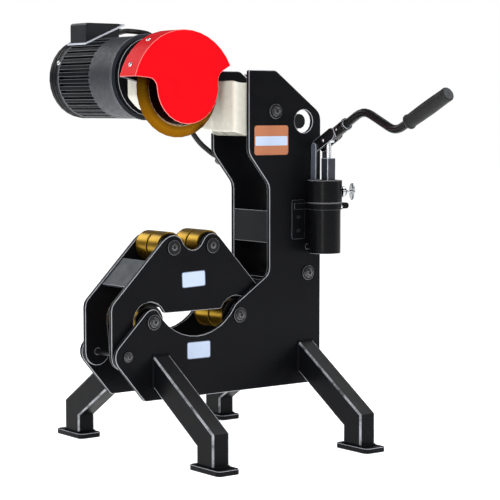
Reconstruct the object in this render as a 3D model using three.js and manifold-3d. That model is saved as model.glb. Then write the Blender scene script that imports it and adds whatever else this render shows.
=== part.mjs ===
// A hydraulic pipe cutting machine in millimetres, +Z up.
// X runs along the side plates, from the pipe throat towards the hand pump.
// Y runs across the plates, with the pump handle at -Y and the motor at +Y.
// The pieces are laid out from the floor and from the middle plane between the side plates.
import * as THREE from 'three';
import { mergeVertices } from 'three/addons/utils/BufferGeometryUtils.js';
import Module from 'manifold-3d';

const wasm = await Module();
wasm.setup();

// Clearances and drawing limits
const seatGap = 0.3;
const slipGap = 0.3;
const overrun = 5;
const weldDistance = 0.0005;
const chordError = 0.5;
const fewestSides = 12;
const coarsestArc = 0.5;
const angleSlack = 1e-6;

// Side plates
const plateThickness = 10;
const plateSpan = 144;
const plateFoot = 126;
const plateRear = 150;
const plateFront = -341.5;
const plateToeRadius = 8;
const plateHeelRadius = 3;
const rearCorner = { z: 729, radius: 30 };
const headTop = { z: 840, chamferX: 15.5, radius: 14 };
const headFront = { x: -56, radius: 3 };
const headUnderside = { z: 666, radius: 30 };
const columnFront = 2;
const columnTop = { z: 573, radius: 30 };
const crook = { z: 397, radius: 25 };
const noseRadius = 31;
const hornRadius = 28;
const hornBlendRadius = 15;
const throatHeight = 378;
const throatSetback = 21.9412;
const window = { x: 100, z: 726, radius: 26 };
const plateOuter = plateSpan / 2;
const plateInner = plateOuter - plateThickness;

// Axes of the shafts, rollers, arm and wheel
const throatX = -198.5;
const lowerRollers = { z: 296.5, spacing: 231.2 };
// The throat's arc runs a set distance inside the lower rollers' axes
const throatArc = {
  z: throatHeight,
  radius: Math.hypot(lowerRollers.spacing / 2, throatHeight - lowerRollers.z) - throatSetback,
};
const upperRollers = { z: 453.7, spacing: 104.3 };
const cradleHinge = { x: -381, z: 226.5 };
const armPivot = { x: 18.3, z: 748.3 };
const tailPin = { x: 99, z: 726 };
const cylinderFoot = { x: 112.5, z: 380.3 };
const wheelAxis = { x: throatX, z: 800 };
const motorAxis = { x: -205, z: 825 };

// Shafts with washered screw heads
const rollerShaftRadius = 8;
const pivotShaftRadius = 15;
const footPinRadius = 10;
const hingeShaftRadius = 6.5;
const washerRadius = 17;
const washerThickness = 3;
const capRadius = 10.5;
const capThickness = 4;
const hingeWasherRadius = 11.5;
const hingeCapRadius = 8;

// Rollers
const rollerRadius = 33.5;
const rollerEndWidth = 4.5;
const lowerRollerEndRadius = 35.5;
const upperRollerEndRadius = 30;
const rollerGrooveWidth = 5;
const rollerGrooveDepth = 3.5;
const rollerGrooveEdge = 1;
const lowerRollerHalf = 57;
const rollerSideGap = 0.5;

// Cradle for small pipes
const cradleSpan = 113.6;
const cradleThickness = 10;
const cradleHornRadius = 27;
const cradleShoulderRadius = 50;
const cradleShoulderAngle = THREE.MathUtils.degToRad(105);
const cradleDipDrop = 7.7;
const cradleNotchRadius = 42;
const cradleFront = { rise: 98.5, radius: 25 };
const cradleUndersideRise = 15.5;
const cradleUndersideRadius = 6;
const cradleTip = { x: -18, rise: 33.5, height: 30, radius: 8 };
const cradleCross = { startShare: 0.27, endShare: 0.7, inset: 3, thickness: 6 };
const restBarRadius = 7;
const restBarX = -32;

// Braces between the side plates
const columnBrace = { inset: 2, thickness: 8, low: 453, high: 525 };
const baseBrace = { inset: 3, length: 78, low: 367, thickness: 8 };

// Legs of rectangular tube, and their foot plates
const legFrontX = -295.4;
const legRearX = 106.7;
const legWidth = 43;
const legDepth = 58;
const legWall = 3.5;
const legReach = 290;
const legKneeHeight = 83;
const legTopHeight = 224;
const footLength = 108;
const footWidth = 58;
const footThickness = 12;
const footRadius = 11;
const footOffset = 266;

// Cutter arm casting
const armHalfWidth = 58.5;
const armHubRadius = 38;
const armTailRadius = 20;
const armTailHubRadius = 26;
const armTailHalfWidth = 12.5;
const gearboxFront = 24;
const gearboxCornerLow = { x: 80, z: -15, radius: 14 };
const gearboxBelly = { x: 38.5, z: 0, radius: 54 };
const gearboxCrown = { front: 40, rear: 23.5, z: 46, radius: 54 };
const armThroat = { x: -62, rise: 68, radius: 56 };
const armHeel = { x: -45, z: 715.5, radius: 22 };
const armShoulder = { x: -20, z: 776, radius: 36 };
const armBlockFront = -86;
const armBlockRadius = 12;
const armBlockFillet = 30;
const armBlockRear = 64;

// Cutter wheel and spindle
const wheelRadius = 109;
const wheelRimHalf = 9;
const wheelEdgeHalf = 0.6;
const wheelBevelWidth = 25;
const wheelLipWidth = 3;
const wheelWebHalf = 4;
const wheelHubRadius = 46;
const wheelHubSlope = 3;
const spindleRadius = 20;
const spindleFlangeRadius = 44;
const spindleTail = 48;
const flangeRadius = 40;
const flangeThickness = 6;
const nutRadius = 30;
const nutThickness = 15;
const nutSides = 6;
const spindleStickOut = 3;

// Wheel guard and its bracket
const guardFace = 40;
const guardSheet = 2.5;
const guardBack = 21;
const guardGap = 27;
const guardArc = { x: -7, z: -9.5, radius: wheelRadius + guardGap };
const guardLobe = { x: 0, z: 3, radius: 82 };
const guardFrontTipHeight = 24;
const guardRearTipHeight = 50;
const guardFrontFillet = { x: -104, z: -1, radius: 22 };
const guardRearFillet = { x: 107, z: 15, radius: 26 };
const bracketFront = 12;
const bracketDepth = 44;
const bracketStart = THREE.MathUtils.degToRad(100);
const bracketEnd = THREE.MathUtils.degToRad(166);

// Motor
const adapterNeckRadius = 66;
const adapterFlangeRadius = 88;
const adapterFlangeY = 94;
const adapterSlope = 5;
const adapterEnd = 109.7;
const shieldRingRadius = 97;
const shieldRingEnd = 120;
const shieldRadius = 93.5;
const shieldEnd = 207;
const statorRadius = 93;
const finCount = 36;
const finDepth = 13;
const finThicknessShare = 0.6;
const statorEnd = 340;
const fanCoverRadius = 92;
const fanCoverWall = 2;
const fanCoverShoulder = 14;
const fanCoverEnd = 395;
const grilleRings = 2;
const grilleInner = 28;
const grillePitch = 21;
const grilleSlot = 14;
const grilleSpokes = 4;
const grilleSpokeWidth = 8;
const motorShaftRadius = 12;
const motorShaftStart = 62;
const motorShaftEnd = 384;
const fanHubRadius = 22;
const fanRadius = 78;
const fanBlades = 7;
const fanBladeThickness = 3;
const fanPlateRadius = 72;
const fanPlateThickness = 2.5;
const fanStart = 352;
const fanEnd = 380;

// Terminal box on the motor
const box = { offset: 52, y: 283, length: 103, width: 68, rise: 83, height: 44, lipThickness: 3.5 };
const boxLip = 5;
const boxFootWidth = 56;
const boxFootInset = 12;
const boxFootRise = { front: 2.5, rear: 5 };
const lidRoundRadius = 6;
const gland = { radius: 7.6, length: 15, nutRadius: 8.7, nutLength: 6, dome: 2.5 };
const motorGlandDrop = 18;
const motorGlandInset = 13;
const frameGland = { x: 48, z: 615 };
const cableRadius = 6;
const cableSides = 8;
const cableSteps = 40;

// Hydraulic cylinder and ram
const cylinderRadius = 32;
const cylinderCapRadius = 35;
const cylinderStart = 28;
const cylinderEyeRise = 33;
const cylinderCapStart = 205;
const cylinderEnd = 225;
const cylinderEyeRadius = 20;
const cylinderEyeHalfWidth = 18;
const ramRadius = 14;
const ramStart = 60;
const ramBoreStart = 52;
const forkInner = 13.2;
const forkThickness = 10;
const forkRadius = 26;
const forkDepth = 44;
const forkBridge = 14;
const forkBridgeHalf = 16;
const tailPinRadius = 11;
const pinSideways = 6.5;
const pinLift = 1.8;
const tailPinHeadRadius = 17;
const tailPinHeadThickness = 7;
const tailPinHalf = 58;

// Hand pump
const pumpX = 130;
const pumpOffset = 40;
const pumpY = -(plateOuter + pumpOffset);
const pumpRadius = 34;
const pumpBottom = 425;
const pumpShoulder = 548;
const pumpTop = 582;
const pumpHeadRadius = 38;
const pumpHeadWall = 2.5;
const pumpHeadRecess = 10;
const pumpEdge = 2;
const barrelOffset = 12;
const barrelY = pumpY - barrelOffset;
const barrelWidth = 25;
const barrelTop = 643;
const barrelCorner = 4;
const plungerRadius = 6.5;
const plungerStroke = 30;
const plungerHeadHalfX = 7;
const plungerHeadHalfY = 13.5;
const plungerHeadHalfZ = 8.5;
const handlePinRadius = 4;
const plungerPinSideways = 4.6;
const plungerPinLift = 1;
const fulcrumOffset = 19;
const fulcrum = { y: pumpY + fulcrumOffset, z: 669.5 };
const linkThickness = 4;
const linkInner = 14;
const linkWidth = 16;
const linkBaseHeight = 9;
const linkFootOffset = 2;
const strapHeight = 25;
const strapLow = 523;
const strapThickness = 3.5;
const strapTab = { x: 62, width: 38, low: 459, high: 548, thickness: 5, radius: 5 };
const strapEar = { length: 27, width: 13, slit: 3 };
const pipeRadius = 5;
const pipeX = 112;
const pipeZ = 440;
const valveZ = 566;
const valveAngle = THREE.MathUtils.degToRad(-26);
const valveReach = 51;
const valveRadius = 8;
const valveNutRadius = 11;
const valveNutLength = 6;
const knobStemRadius = 4;
const knobStemEnd = 61;
const knobRadius = 20;
const knobThickness = 6;

// Pump handle
const socketLift = THREE.MathUtils.degToRad(28.5);
const socketLength = 109;
const socketHalf = 13;
const cheekThickness = 3.2;
const cheekLength = 56;
const cheekOverlap = 5;
const socketCollar = { radius: 14.5, length: 6 };
const tubeRadius = 9.5;
const tubeInsert = 46;
const tubeSides = 12;
const tubeBendSteps = 5;
const tubeRise = { y: -245, z: 751.5, radius: 55 };
const tubeDip = { y: -350, z: 705, radius: 50 };
const tubeEnd = { y: -513, z: 786 };
const gripLength = 136;
const gripRadius = 15;
const gripBulge = 1.8;
const gripEndWall = 5;
const gripRing = 3;
const gripWaistShares = [0.1, 0.3, 0.5, 0.75, 0.97];

// Finishes
const blackCoat = new THREE.MeshStandardMaterial({ color: 0x1d1f22, roughness: 0.42, metalness: 0.3 });
const braceCoat = new THREE.MeshStandardMaterial({ color: 0x555a61, roughness: 0.45, metalness: 0.3 });
const redCoat = new THREE.MeshStandardMaterial({ color: 0xf01022, roughness: 0.3, metalness: 0.1 });
const creamCoat = new THREE.MeshStandardMaterial({ color: 0xd6d3c6, roughness: 0.3, metalness: 0.05 });
const motorCoat = new THREE.MeshStandardMaterial({ color: 0x3a3d43, roughness: 0.5, metalness: 0.3 });
const goldCoat = new THREE.MeshStandardMaterial({ color: 0xd99a1c, roughness: 0.3, metalness: 0.9 });
const bronzeCoat = new THREE.MeshStandardMaterial({ color: 0xa87410, roughness: 0.3, metalness: 0.9 });
const brightSteel = new THREE.MeshStandardMaterial({ color: 0xc8cacd, roughness: 0.25, metalness: 1 });
const blackSteel = new THREE.MeshStandardMaterial({ color: 0x26282b, roughness: 0.4, metalness: 0.8 });
const blackPlastic = new THREE.MeshStandardMaterial({ color: 0x16171a, roughness: 0.5, metalness: 0 });
const rubber = new THREE.MeshStandardMaterial({ color: 0x2c2e30, roughness: 0.85, metalness: 0 });

// Turns a geometry into an indexed mesh without slivers, with its faces pointing out
function closedMesh(geometry) {
  const bare = geometry.clone();
  bare.deleteAttribute('normal');
  bare.deleteAttribute('uv');
  const merged = mergeVertices(bare, weldDistance);
  const positions = new Float32Array(merged.attributes.position.array);
  const source = merged.index.array;
  const triangles = [];
  for (let i = 0; i < source.length; i += 3) {
    const [a, b, c] = [source[i], source[i + 1], source[i + 2]];
    if (a !== b && b !== c && c !== a) triangles.push(a, b, c);
  }
  if (signedVolume(positions, triangles) < 0) triangles.reverse();
  return { positions, triangles };
}

function signedVolume(positions, triangles) {
  const corner = (i) => new THREE.Vector3().fromArray(positions, triangles[i] * 3);
  let six = 0;
  for (let i = 0; i < triangles.length; i += 3) {
    six += corner(i).dot(corner(i + 1).cross(corner(i + 2)));
  }
  return six / 6;
}

function solid(geometry) {
  const { positions, triangles } = closedMesh(geometry);
  const mesh = { numProp: 3, vertProperties: positions, triVerts: new Uint32Array(triangles) };
  return new wasm.Manifold(new wasm.Mesh(mesh));
}

function toGeometry(shape) {
  if (shape.isBufferGeometry) {
    const { positions, triangles } = closedMesh(shape);
    return indexed(positions, triangles);
  }
  const mesh = shape.getMesh();
  return indexed(new Float32Array(mesh.vertProperties), Array.from(mesh.triVerts));
}

function indexed(positions, triangles) {
  const geometry = new THREE.BufferGeometry();
  geometry.setAttribute('position', new THREE.BufferAttribute(positions, 3));
  geometry.setIndex(triangles);
  geometry.computeVertexNormals();
  return geometry;
}

// Joins and cuts
const join = (first, ...others) => others.reduce((sum, next) => sum.add(solid(next)), solid(first));
const cut = (body, ...tools) => tools.reduce((rest, tool) => rest.subtract(solid(tool)), body);

// Round shapes get the fewest flats that stay within the chord error
const arcStep = (radius) => 2 * Math.acos(Math.max(coarsestArc, 1 - chordError / radius));
const sidesFor = (radius) => Math.max(fewestSides, Math.ceil((2 * Math.PI) / arcStep(radius)));

// A round turn of an outline: a positive radius bulges out of the material, a negative one bites in
const turn = (x, y, radius = 0) => ({ x, y, radius });

// The outline of a belt led anticlockwise round a list of turns
function belt(turns) {
  const runs = turns.map((from, i) => tangentRun(from, turns[(i + 1) % turns.length]));
  const points = [];
  turns.forEach((at, i) => {
    const arriving = runs[(i + turns.length - 1) % turns.length].normal;
    points.push(...arcRound(at, arriving, runs[i].normal));
  });
  return points.filter((p, i) => p.distanceTo(points[(i + 1) % points.length]) > weldDistance);
}

function tangentRun(from, to) {
  const across = new THREE.Vector2(to.x - from.x, to.y - from.y);
  const span = across.length();
  const lead = to.radius - from.radius;
  const straight = Math.sqrt(Math.max(0, span * span - lead * lead));
  const along = across.clone().multiplyScalar(straight);
  along.add(new THREE.Vector2(across.y, -across.x).multiplyScalar(lead)).normalize();
  return { along, normal: new THREE.Vector2(-along.y, along.x) };
}

function arcRound(at, arriving, leaving) {
  if (at.radius === 0) return [new THREE.Vector2(at.x, at.y)];
  const hand = Math.sign(at.radius);
  const start = Math.atan2(-hand * arriving.y, -hand * arriving.x);
  const end = Math.atan2(-hand * leaving.y, -hand * leaving.x);
  let sweep = hand * (end - start);
  sweep -= Math.floor(sweep / (2 * Math.PI)) * 2 * Math.PI;
  if (2 * Math.PI - sweep < angleSlack) sweep = 0;
  const size = Math.abs(at.radius);
  const steps = Math.max(1, Math.ceil(sweep / arcStep(size)));
  return Array.from({ length: steps + 1 }, (_, i) => {
    const angle = start + (hand * sweep * i) / steps;
    return new THREE.Vector2(at.x + size * Math.cos(angle), at.y + size * Math.sin(angle));
  });
}

function circle(x, y, radius, sides = sidesFor(radius)) {
  return Array.from({ length: sides }, (_, i) => {
    const angle = (2 * Math.PI * i) / sides;
    return new THREE.Vector2(x + radius * Math.cos(angle), y + radius * Math.sin(angle));
  });
}

// A hole's flats stand outside its circle, and a rod's inside
function hole(x, y, radius) {
  const sides = sidesFor(radius);
  return circle(x, y, radius / Math.cos(Math.PI / sides), sides);
}

function roundedRectangle(x0, y0, x1, y1, radius) {
  return belt([
    turn(x0 + radius, y0 + radius, radius),
    turn(x1 - radius, y0 + radius, radius),
    turn(x1 - radius, y1 - radius, radius),
    turn(x0 + radius, y1 - radius, radius),
  ]);
}

function prism(outline, depth, holes = []) {
  const shape = new THREE.Shape(outline);
  shape.holes = holes.map((hole) => new THREE.Path(hole));
  return new THREE.ExtrudeGeometry(shape, { depth, bevelEnabled: false, curveSegments: 1, steps: 1 });
}

// Prisms whose outlines lie in the X-Z, Y-Z and X-Y planes
function acrossY(outline, low, high, holes = []) {
  return prism(outline, high - low, holes).rotateX(Math.PI / 2).translate(0, high, 0);
}

function alongX(outline, low, high, holes = []) {
  const axes = [new THREE.Vector3(0, 1, 0), new THREE.Vector3(0, 0, 1), new THREE.Vector3(1, 0, 0)];
  const turned = new THREE.Matrix4().makeBasis(...axes);
  return prism(outline, high - low, holes).applyMatrix4(turned).translate(low, 0, 0);
}

function alongZ(outline, low, high, holes = []) {
  return prism(outline, high - low, holes).translate(0, 0, low);
}

function slab(x0, x1, y0, y1, z0, z1) {
  const size = [x1 - x0, y1 - y0, z1 - z0];
  return new THREE.BoxGeometry(...size).translate((x0 + x1) / 2, (y0 + y1) / 2, (z0 + z1) / 2);
}

// A turned piece about the Y axis, from points [radius, y]
function turned(profile) {
  const sides = sidesFor(Math.max(...profile.map(([radius]) => radius)));
  return new THREE.LatheGeometry(profile.map(([radius, y]) => new THREE.Vector2(radius, y)), sides);
}

// A ring-shaped turned piece, whose profile closes on itself
const ring = (profile) => turned([...profile, profile[0]]);

const rod = (radius, low, high) => turned([[0, low], [radius, low], [radius, high], [0, high]]);

const borer = (radius, low, high) => acrossY(hole(0, 0, radius), low, high);

const upright = (geometry) => geometry.rotateX(Math.PI / 2);

// A path of straight pieces, with one extrusion step from each point to the next
class BentLine extends THREE.Curve {
  constructor(points) {
    super();
    this.points = points;
  }

  getPoint(t) {
    const place = t * (this.points.length - 1);
    const i = Math.min(Math.floor(place), this.points.length - 2);
    return this.points[i].clone().lerp(this.points[i + 1], place - i);
  }

  getUtoTmapping(u) {
    return u;
  }
}

// A round bar swept along a list of points
function sweep(points, radius, sides) {
  const section = new THREE.Shape(circle(0, 0, radius, sides));
  const extrudePath = new BentLine(points);
  return new THREE.ExtrudeGeometry(section, { steps: points.length - 1, extrudePath, bevelEnabled: false });
}

// Scene graph helpers
const machine = new THREE.Group();
const frame = new THREE.Group();
const arm = new THREE.Group();
const cradle = new THREE.Group();
machine.add(frame, arm, cradle);

function place(group, name, shape, material, at = [0, 0, 0]) {
  const mesh = new THREE.Mesh(toGeometry(shape), material);
  mesh.name = name;
  mesh.position.set(...at);
  group.add(mesh);
  return mesh;
}

// Side plates: C-shaped, with a nose round the cradle hinge and a horn round each lower roller
const lowerFrontX = throatX - lowerRollers.spacing / 2;
const lowerRearX = throatX + lowerRollers.spacing / 2;
const cradleTipLow = lowerRollers.z + cradleTip.rise;

// A small turn that rounds a horn's tip into the throat arc
function hornTip(hornX, side) {
  const horn = new THREE.Vector2(hornX, lowerRollers.z);
  const arc = new THREE.Vector2(throatX, throatArc.z);
  const span = horn.distanceTo(arc);
  const fromArc = throatArc.radius + hornBlendRadius;
  const fromHorn = hornRadius - hornBlendRadius;
  const along = (fromArc ** 2 + span ** 2 - fromHorn ** 2) / (2 * span);
  const aside = Math.sqrt(Math.max(0, fromArc ** 2 - along ** 2)) * side;
  const way = horn.clone().sub(arc).normalize();
  const x = arc.x + way.x * along - way.y * aside;
  const z = arc.y + way.y * along + way.x * aside;
  return turn(x, z, hornBlendRadius);
}

function sidePlateOutline() {
  return belt([
    turn(plateRear - plateHeelRadius, plateFoot + plateHeelRadius, plateHeelRadius),
    turn(plateRear - rearCorner.radius, rearCorner.z, rearCorner.radius),
    turn(headTop.chamferX, headTop.z - headTop.radius, headTop.radius),
    turn(headFront.x + headFront.radius, headTop.z - headFront.radius, headFront.radius),
    turn(headFront.x + headUnderside.radius, headUnderside.z, headUnderside.radius),
    turn(columnFront - columnTop.radius, columnTop.z, -columnTop.radius),
    turn(columnFront - crook.radius, crook.z, -crook.radius),
    hornTip(lowerRearX, 1),
    turn(throatX, throatArc.z, -throatArc.radius),
    hornTip(lowerFrontX, -1),
    turn(lowerFrontX, lowerRollers.z, hornRadius),
    turn(cradleHinge.x, cradleHinge.z, noseRadius),
    turn(plateFront + plateToeRadius, plateFoot + plateToeRadius, plateToeRadius),
  ]);
}

function sidePlateHoles(withPipeHole) {
  const holes = [
    hole(armPivot.x, armPivot.z, pivotShaftRadius + slipGap),
    hole(window.x, window.z, window.radius),
    hole(cylinderFoot.x, cylinderFoot.z, footPinRadius + slipGap),
    hole(cradleHinge.x, cradleHinge.z, hingeShaftRadius + slipGap),
    hole(lowerFrontX, lowerRollers.z, rollerShaftRadius + slipGap),
    hole(lowerRearX, lowerRollers.z, rollerShaftRadius + slipGap),
  ];
  if (withPipeHole) holes.push(hole(pipeX, pipeZ, pipeRadius + slipGap));
  return holes;
}

function addSidePlates() {
  const outline = sidePlateOutline();
  const near = acrossY(outline, -plateOuter, -plateInner, sidePlateHoles(true));
  const far = acrossY(outline, plateInner, plateOuter, sidePlateHoles(false));
  place(frame, 'side_plate_near', near, blackCoat);
  place(frame, 'side_plate_far', far, blackCoat);
}

function addBraces() {
  const reach = plateInner - seatGap;
  const front = columnFront + columnBrace.inset;
  const panel = slab(front, front + columnBrace.thickness, -reach, reach, columnBrace.low, columnBrace.high);
  place(frame, 'column_brace', panel, braceCoat);
  const start = columnFront + baseBrace.inset;
  const high = baseBrace.low + baseBrace.thickness;
  const shelf = slab(start, start + baseBrace.length, -reach, reach, baseBrace.low, high);
  place(frame, 'base_brace', shelf, blackCoat);
  const barZ = cradleTipLow - seatGap - restBarRadius;
  place(frame, 'cradle_rest_bar', rod(restBarRadius, -reach, reach), blackSteel, [restBarX, 0, barZ]);
}

// A leg's outline in its own depth and height, drawn in by a wall for the hollow
function legOutline(wall, extra) {
  const slope = Math.atan2(legTopHeight - legKneeHeight, legReach - plateOuter);
  const outer = legReach - wall;
  const inner = legReach - legDepth + wall;
  const start = plateOuter + seatGap - extra;
  const topAt = (y) => legTopHeight - (y - plateOuter) * Math.tan(slope) - wall / Math.cos(slope);
  const depth = (legDepth - 2 * wall) / Math.cos(slope);
  const foot = footThickness + seatGap - extra;
  return [
    new THREE.Vector2(inner, foot),
    new THREE.Vector2(outer, foot),
    new THREE.Vector2(outer, topAt(outer)),
    new THREE.Vector2(start, topAt(start)),
    new THREE.Vector2(start, topAt(start) - depth),
    new THREE.Vector2(inner, topAt(inner) - depth),
  ];
}

function legTube() {
  const half = legWidth / 2;
  const outside = alongX(legOutline(0, 0), -half, half);
  const hollow = alongX(legOutline(legWall, overrun), legWall - half, half - legWall);
  return cut(solid(outside), hollow);
}

function addLegs() {
  const half = footLength / 2;
  const side = footWidth / 2;
  const sole = roundedRectangle(-side, footOffset - half, side, footOffset + half, footRadius);
  const corners = [
    ['near_front', legFrontX, Math.PI],
    ['near_rear', legRearX, Math.PI],
    ['far_front', legFrontX, 0],
    ['far_rear', legRearX, 0],
  ];
  for (const [corner, x, heading] of corners) {
    const leg = place(frame, `leg_${corner}`, legTube(), blackCoat, [x, 0, 0]);
    const foot = place(frame, `foot_${corner}`, alongZ(sole, 0, footThickness), blackCoat, [x, 0, 0]);
    leg.rotation.z = heading;
    foot.rotation.z = heading;
  }
}

// A shaft held by a washered socket screw at each end
function headedShaft(radius, halfSpan, washer, cap) {
  const seat = halfSpan + seatGap;
  const rim = seat + washerThickness;
  const crown = rim + capThickness;
  const end = [[radius, seat], [washer, seat], [washer, rim], [cap, rim], [cap, crown], [0, crown]];
  const start = end.map(([r, y]) => [r, -y]).reverse();
  return turned([...start, ...end]);
}

const plainShaft = (radius, halfSpan) => headedShaft(radius, halfSpan, washerRadius, capRadius);

// A grooved roller with a flange or a smaller collar at each end, bored for its shaft
function roller(half, endRadius) {
  const barrel = half - rollerEndWidth;
  const notch = rollerGrooveWidth / 2;
  const floor = rollerRadius - rollerGrooveDepth;
  const bore = rollerShaftRadius + slipGap;
  const side = [
    [floor, notch], [rollerRadius, notch + rollerGrooveEdge], [rollerRadius, barrel],
    [endRadius, barrel], [endRadius, half],
  ];
  const mirrored = side.map(([r, y]) => [r, -y]).reverse();
  return ring([[bore, -half], ...mirrored, ...side, [bore, half]]);
}

function addLowerRollers() {
  const half = lowerRollerHalf - rollerSideGap;
  for (const [side, x] of [['front', lowerFrontX], ['rear', lowerRearX]]) {
    const at = [x, 0, lowerRollers.z];
    place(frame, `roller_shaft_${side}`, plainShaft(rollerShaftRadius, plateOuter), blackSteel, at);
    place(frame, `roller_lower_${side}`, roller(half, lowerRollerEndRadius), goldCoat, at);
  }
}

function addFrameShafts() {
  const hinge = headedShaft(hingeShaftRadius, plateOuter, hingeWasherRadius, hingeCapRadius);
  place(frame, 'cradle_hinge_shaft', hinge, blackSteel, [cradleHinge.x, 0, cradleHinge.z]);
  const pivot = plainShaft(pivotShaftRadius, plateOuter);
  place(frame, 'arm_pivot_shaft', pivot, blackSteel, [armPivot.x, 0, armPivot.z]);
  const pin = plainShaft(footPinRadius, plateOuter);
  place(frame, 'cylinder_pin', pin, blackSteel, [cylinderFoot.x, 0, cylinderFoot.z]);
}

// Cradle: two plates on the hinge shaft that carry the upper rollers
const upperFrontX = throatX - upperRollers.spacing / 2;
const upperRearX = throatX + upperRollers.spacing / 2;
const cradleOuter = cradleSpan / 2;
const cradleInner = cradleOuter - cradleThickness;
const cradleEdge = cradleHinge.x - noseRadius;

function cradleShoulder() {
  const shift = cradleShoulderRadius - cradleHornRadius;
  const x = upperFrontX - shift * Math.cos(cradleShoulderAngle);
  const z = upperRollers.z - shift * Math.sin(cradleShoulderAngle);
  return turn(x, z, cradleShoulderRadius);
}

function cradleFrontTurn() {
  return turn(cradleEdge + cradleFront.radius, cradleHinge.z + cradleFront.rise, cradleFront.radius);
}

// The dip between the upper rollers touches both horns
function cradleDip() {
  const reach = upperRollers.spacing / 2;
  const drop = cradleDipDrop;
  const radius = (reach ** 2 + drop ** 2 - cradleHornRadius ** 2) / (2 * (cradleHornRadius + drop));
  return turn(throatX, upperRollers.z - drop + radius, -radius);
}

function cradleOutline() {
  const edge = cradleUndersideRadius;
  const bite = cradleNotchRadius + edge;
  const away = Math.sqrt(bite ** 2 - (cradleUndersideRise + edge) ** 2);
  const tipAway = Math.sqrt(bite ** 2 - (cradleTip.rise + edge) ** 2);
  const low = lowerRollers.z + cradleUndersideRise + edge;
  const tipX = cradleTip.x - cradleTip.radius;
  return belt([
    turn(cradleHinge.x, cradleHinge.z, noseRadius),
    turn(lowerFrontX, lowerRollers.z, -cradleNotchRadius),
    turn(lowerFrontX + away, low, edge),
    turn(lowerRearX - away, low, edge),
    turn(lowerRearX, lowerRollers.z, -cradleNotchRadius),
    turn(lowerRearX + tipAway, cradleTipLow + edge, edge),
    turn(tipX, cradleTipLow + cradleTip.radius, cradleTip.radius),
    turn(tipX, cradleTipLow + cradleTip.height - cradleTip.radius, cradleTip.radius),
    turn(upperRearX, upperRollers.z, cradleHornRadius),
    cradleDip(),
    turn(upperFrontX, upperRollers.z, cradleHornRadius),
    cradleShoulder(),
    cradleFrontTurn(),
  ]);
}

// A flat bar welded between the plates along their slanted front edge
function cradleCrossPlate() {
  const from = cradleFrontTurn();
  const to = cradleShoulder();
  const { along, normal } = tangentRun(to, from);
  const start = new THREE.Vector2(from.x - from.radius * normal.x, from.y - from.radius * normal.y);
  const end = new THREE.Vector2(to.x - to.radius * normal.x, to.y - to.radius * normal.y);
  const length = start.distanceTo(end);
  const at = (share, depth) => new THREE.Vector2(
    start.x - along.x * share * length + normal.x * depth,
    start.y - along.y * share * length + normal.y * depth);
  const { startShare, endShare, inset, thickness } = cradleCross;
  const outline = [
    at(startShare, inset), at(startShare, inset + thickness),
    at(endShare, inset + thickness), at(endShare, inset),
  ];
  return acrossY(outline, seatGap - cradleInner, cradleInner - seatGap);
}

function addCradle() {
  const outline = cradleOutline();
  const holes = [
    hole(cradleHinge.x, cradleHinge.z, hingeShaftRadius + slipGap),
    hole(upperFrontX, upperRollers.z, rollerShaftRadius + slipGap),
    hole(upperRearX, upperRollers.z, rollerShaftRadius + slipGap),
  ];
  place(cradle, 'cradle_plate_near', acrossY(outline, -cradleOuter, -cradleInner, holes), blackCoat);
  place(cradle, 'cradle_plate_far', acrossY(outline, cradleInner, cradleOuter, holes), blackCoat);
  place(cradle, 'cradle_cross_plate', cradleCrossPlate(), braceCoat);
  const half = cradleInner - rollerSideGap;
  for (const [side, x] of [['front', upperFrontX], ['rear', upperRearX]]) {
    const at = [x, 0, upperRollers.z];
    place(cradle, `cradle_shaft_${side}`, upperShaft(), blackSteel, at);
    place(cradle, `roller_upper_${side}`, roller(half, upperRollerEndRadius), goldCoat, at);
  }
}

// The upper shafts' thin screw heads pass inside the side plates
function upperShaft() {
  const seat = cradleOuter + seatGap;
  const crown = seat + washerThickness;
  const end = [[rollerShaftRadius, seat], [washerRadius, seat], [washerRadius, crown], [0, crown]];
  const start = end.map(([r, y]) => [r, -y]).reverse();
  return turned([...start, ...end]);
}

// Cutter arm: one casting of gearbox, arm block, pivot hub and tail
const armSide = () => belt([
  turn(wheelAxis.x - gearboxCornerLow.x, wheelAxis.z + gearboxCornerLow.z, gearboxCornerLow.radius),
  turn(wheelAxis.x - gearboxBelly.x, wheelAxis.z + gearboxBelly.z, gearboxBelly.radius),
  turn(armHeel.x, armHeel.z, armHeel.radius),
  turn(armPivot.x, armPivot.z, armHubRadius),
  turn(armShoulder.x, armShoulder.z, armShoulder.radius),
  turn(armThroat.x, wheelAxis.z + armThroat.rise, -armThroat.radius),
  turn(wheelAxis.x + gearboxCrown.rear, wheelAxis.z + gearboxCrown.z, gearboxCrown.radius),
  turn(wheelAxis.x - gearboxCrown.front, wheelAxis.z + gearboxCrown.z, gearboxCrown.radius),
]);

// Seen from above, the thin gearbox widens into the block between the side plates
function armPlan() {
  const far = wheelAxis.x - wheelRadius - overrun;
  const edge = armBlockRadius;
  const fillet = armBlockFillet;
  return belt([
    turn(far, gearboxFront),
    turn(armBlockFront - fillet, gearboxFront - fillet, -fillet),
    turn(armBlockFront + edge, edge - armHalfWidth, edge),
    turn(armBlockRear, -armHalfWidth),
    turn(armBlockRear, armHalfWidth),
    turn(far, armHalfWidth),
  ]);
}

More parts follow.
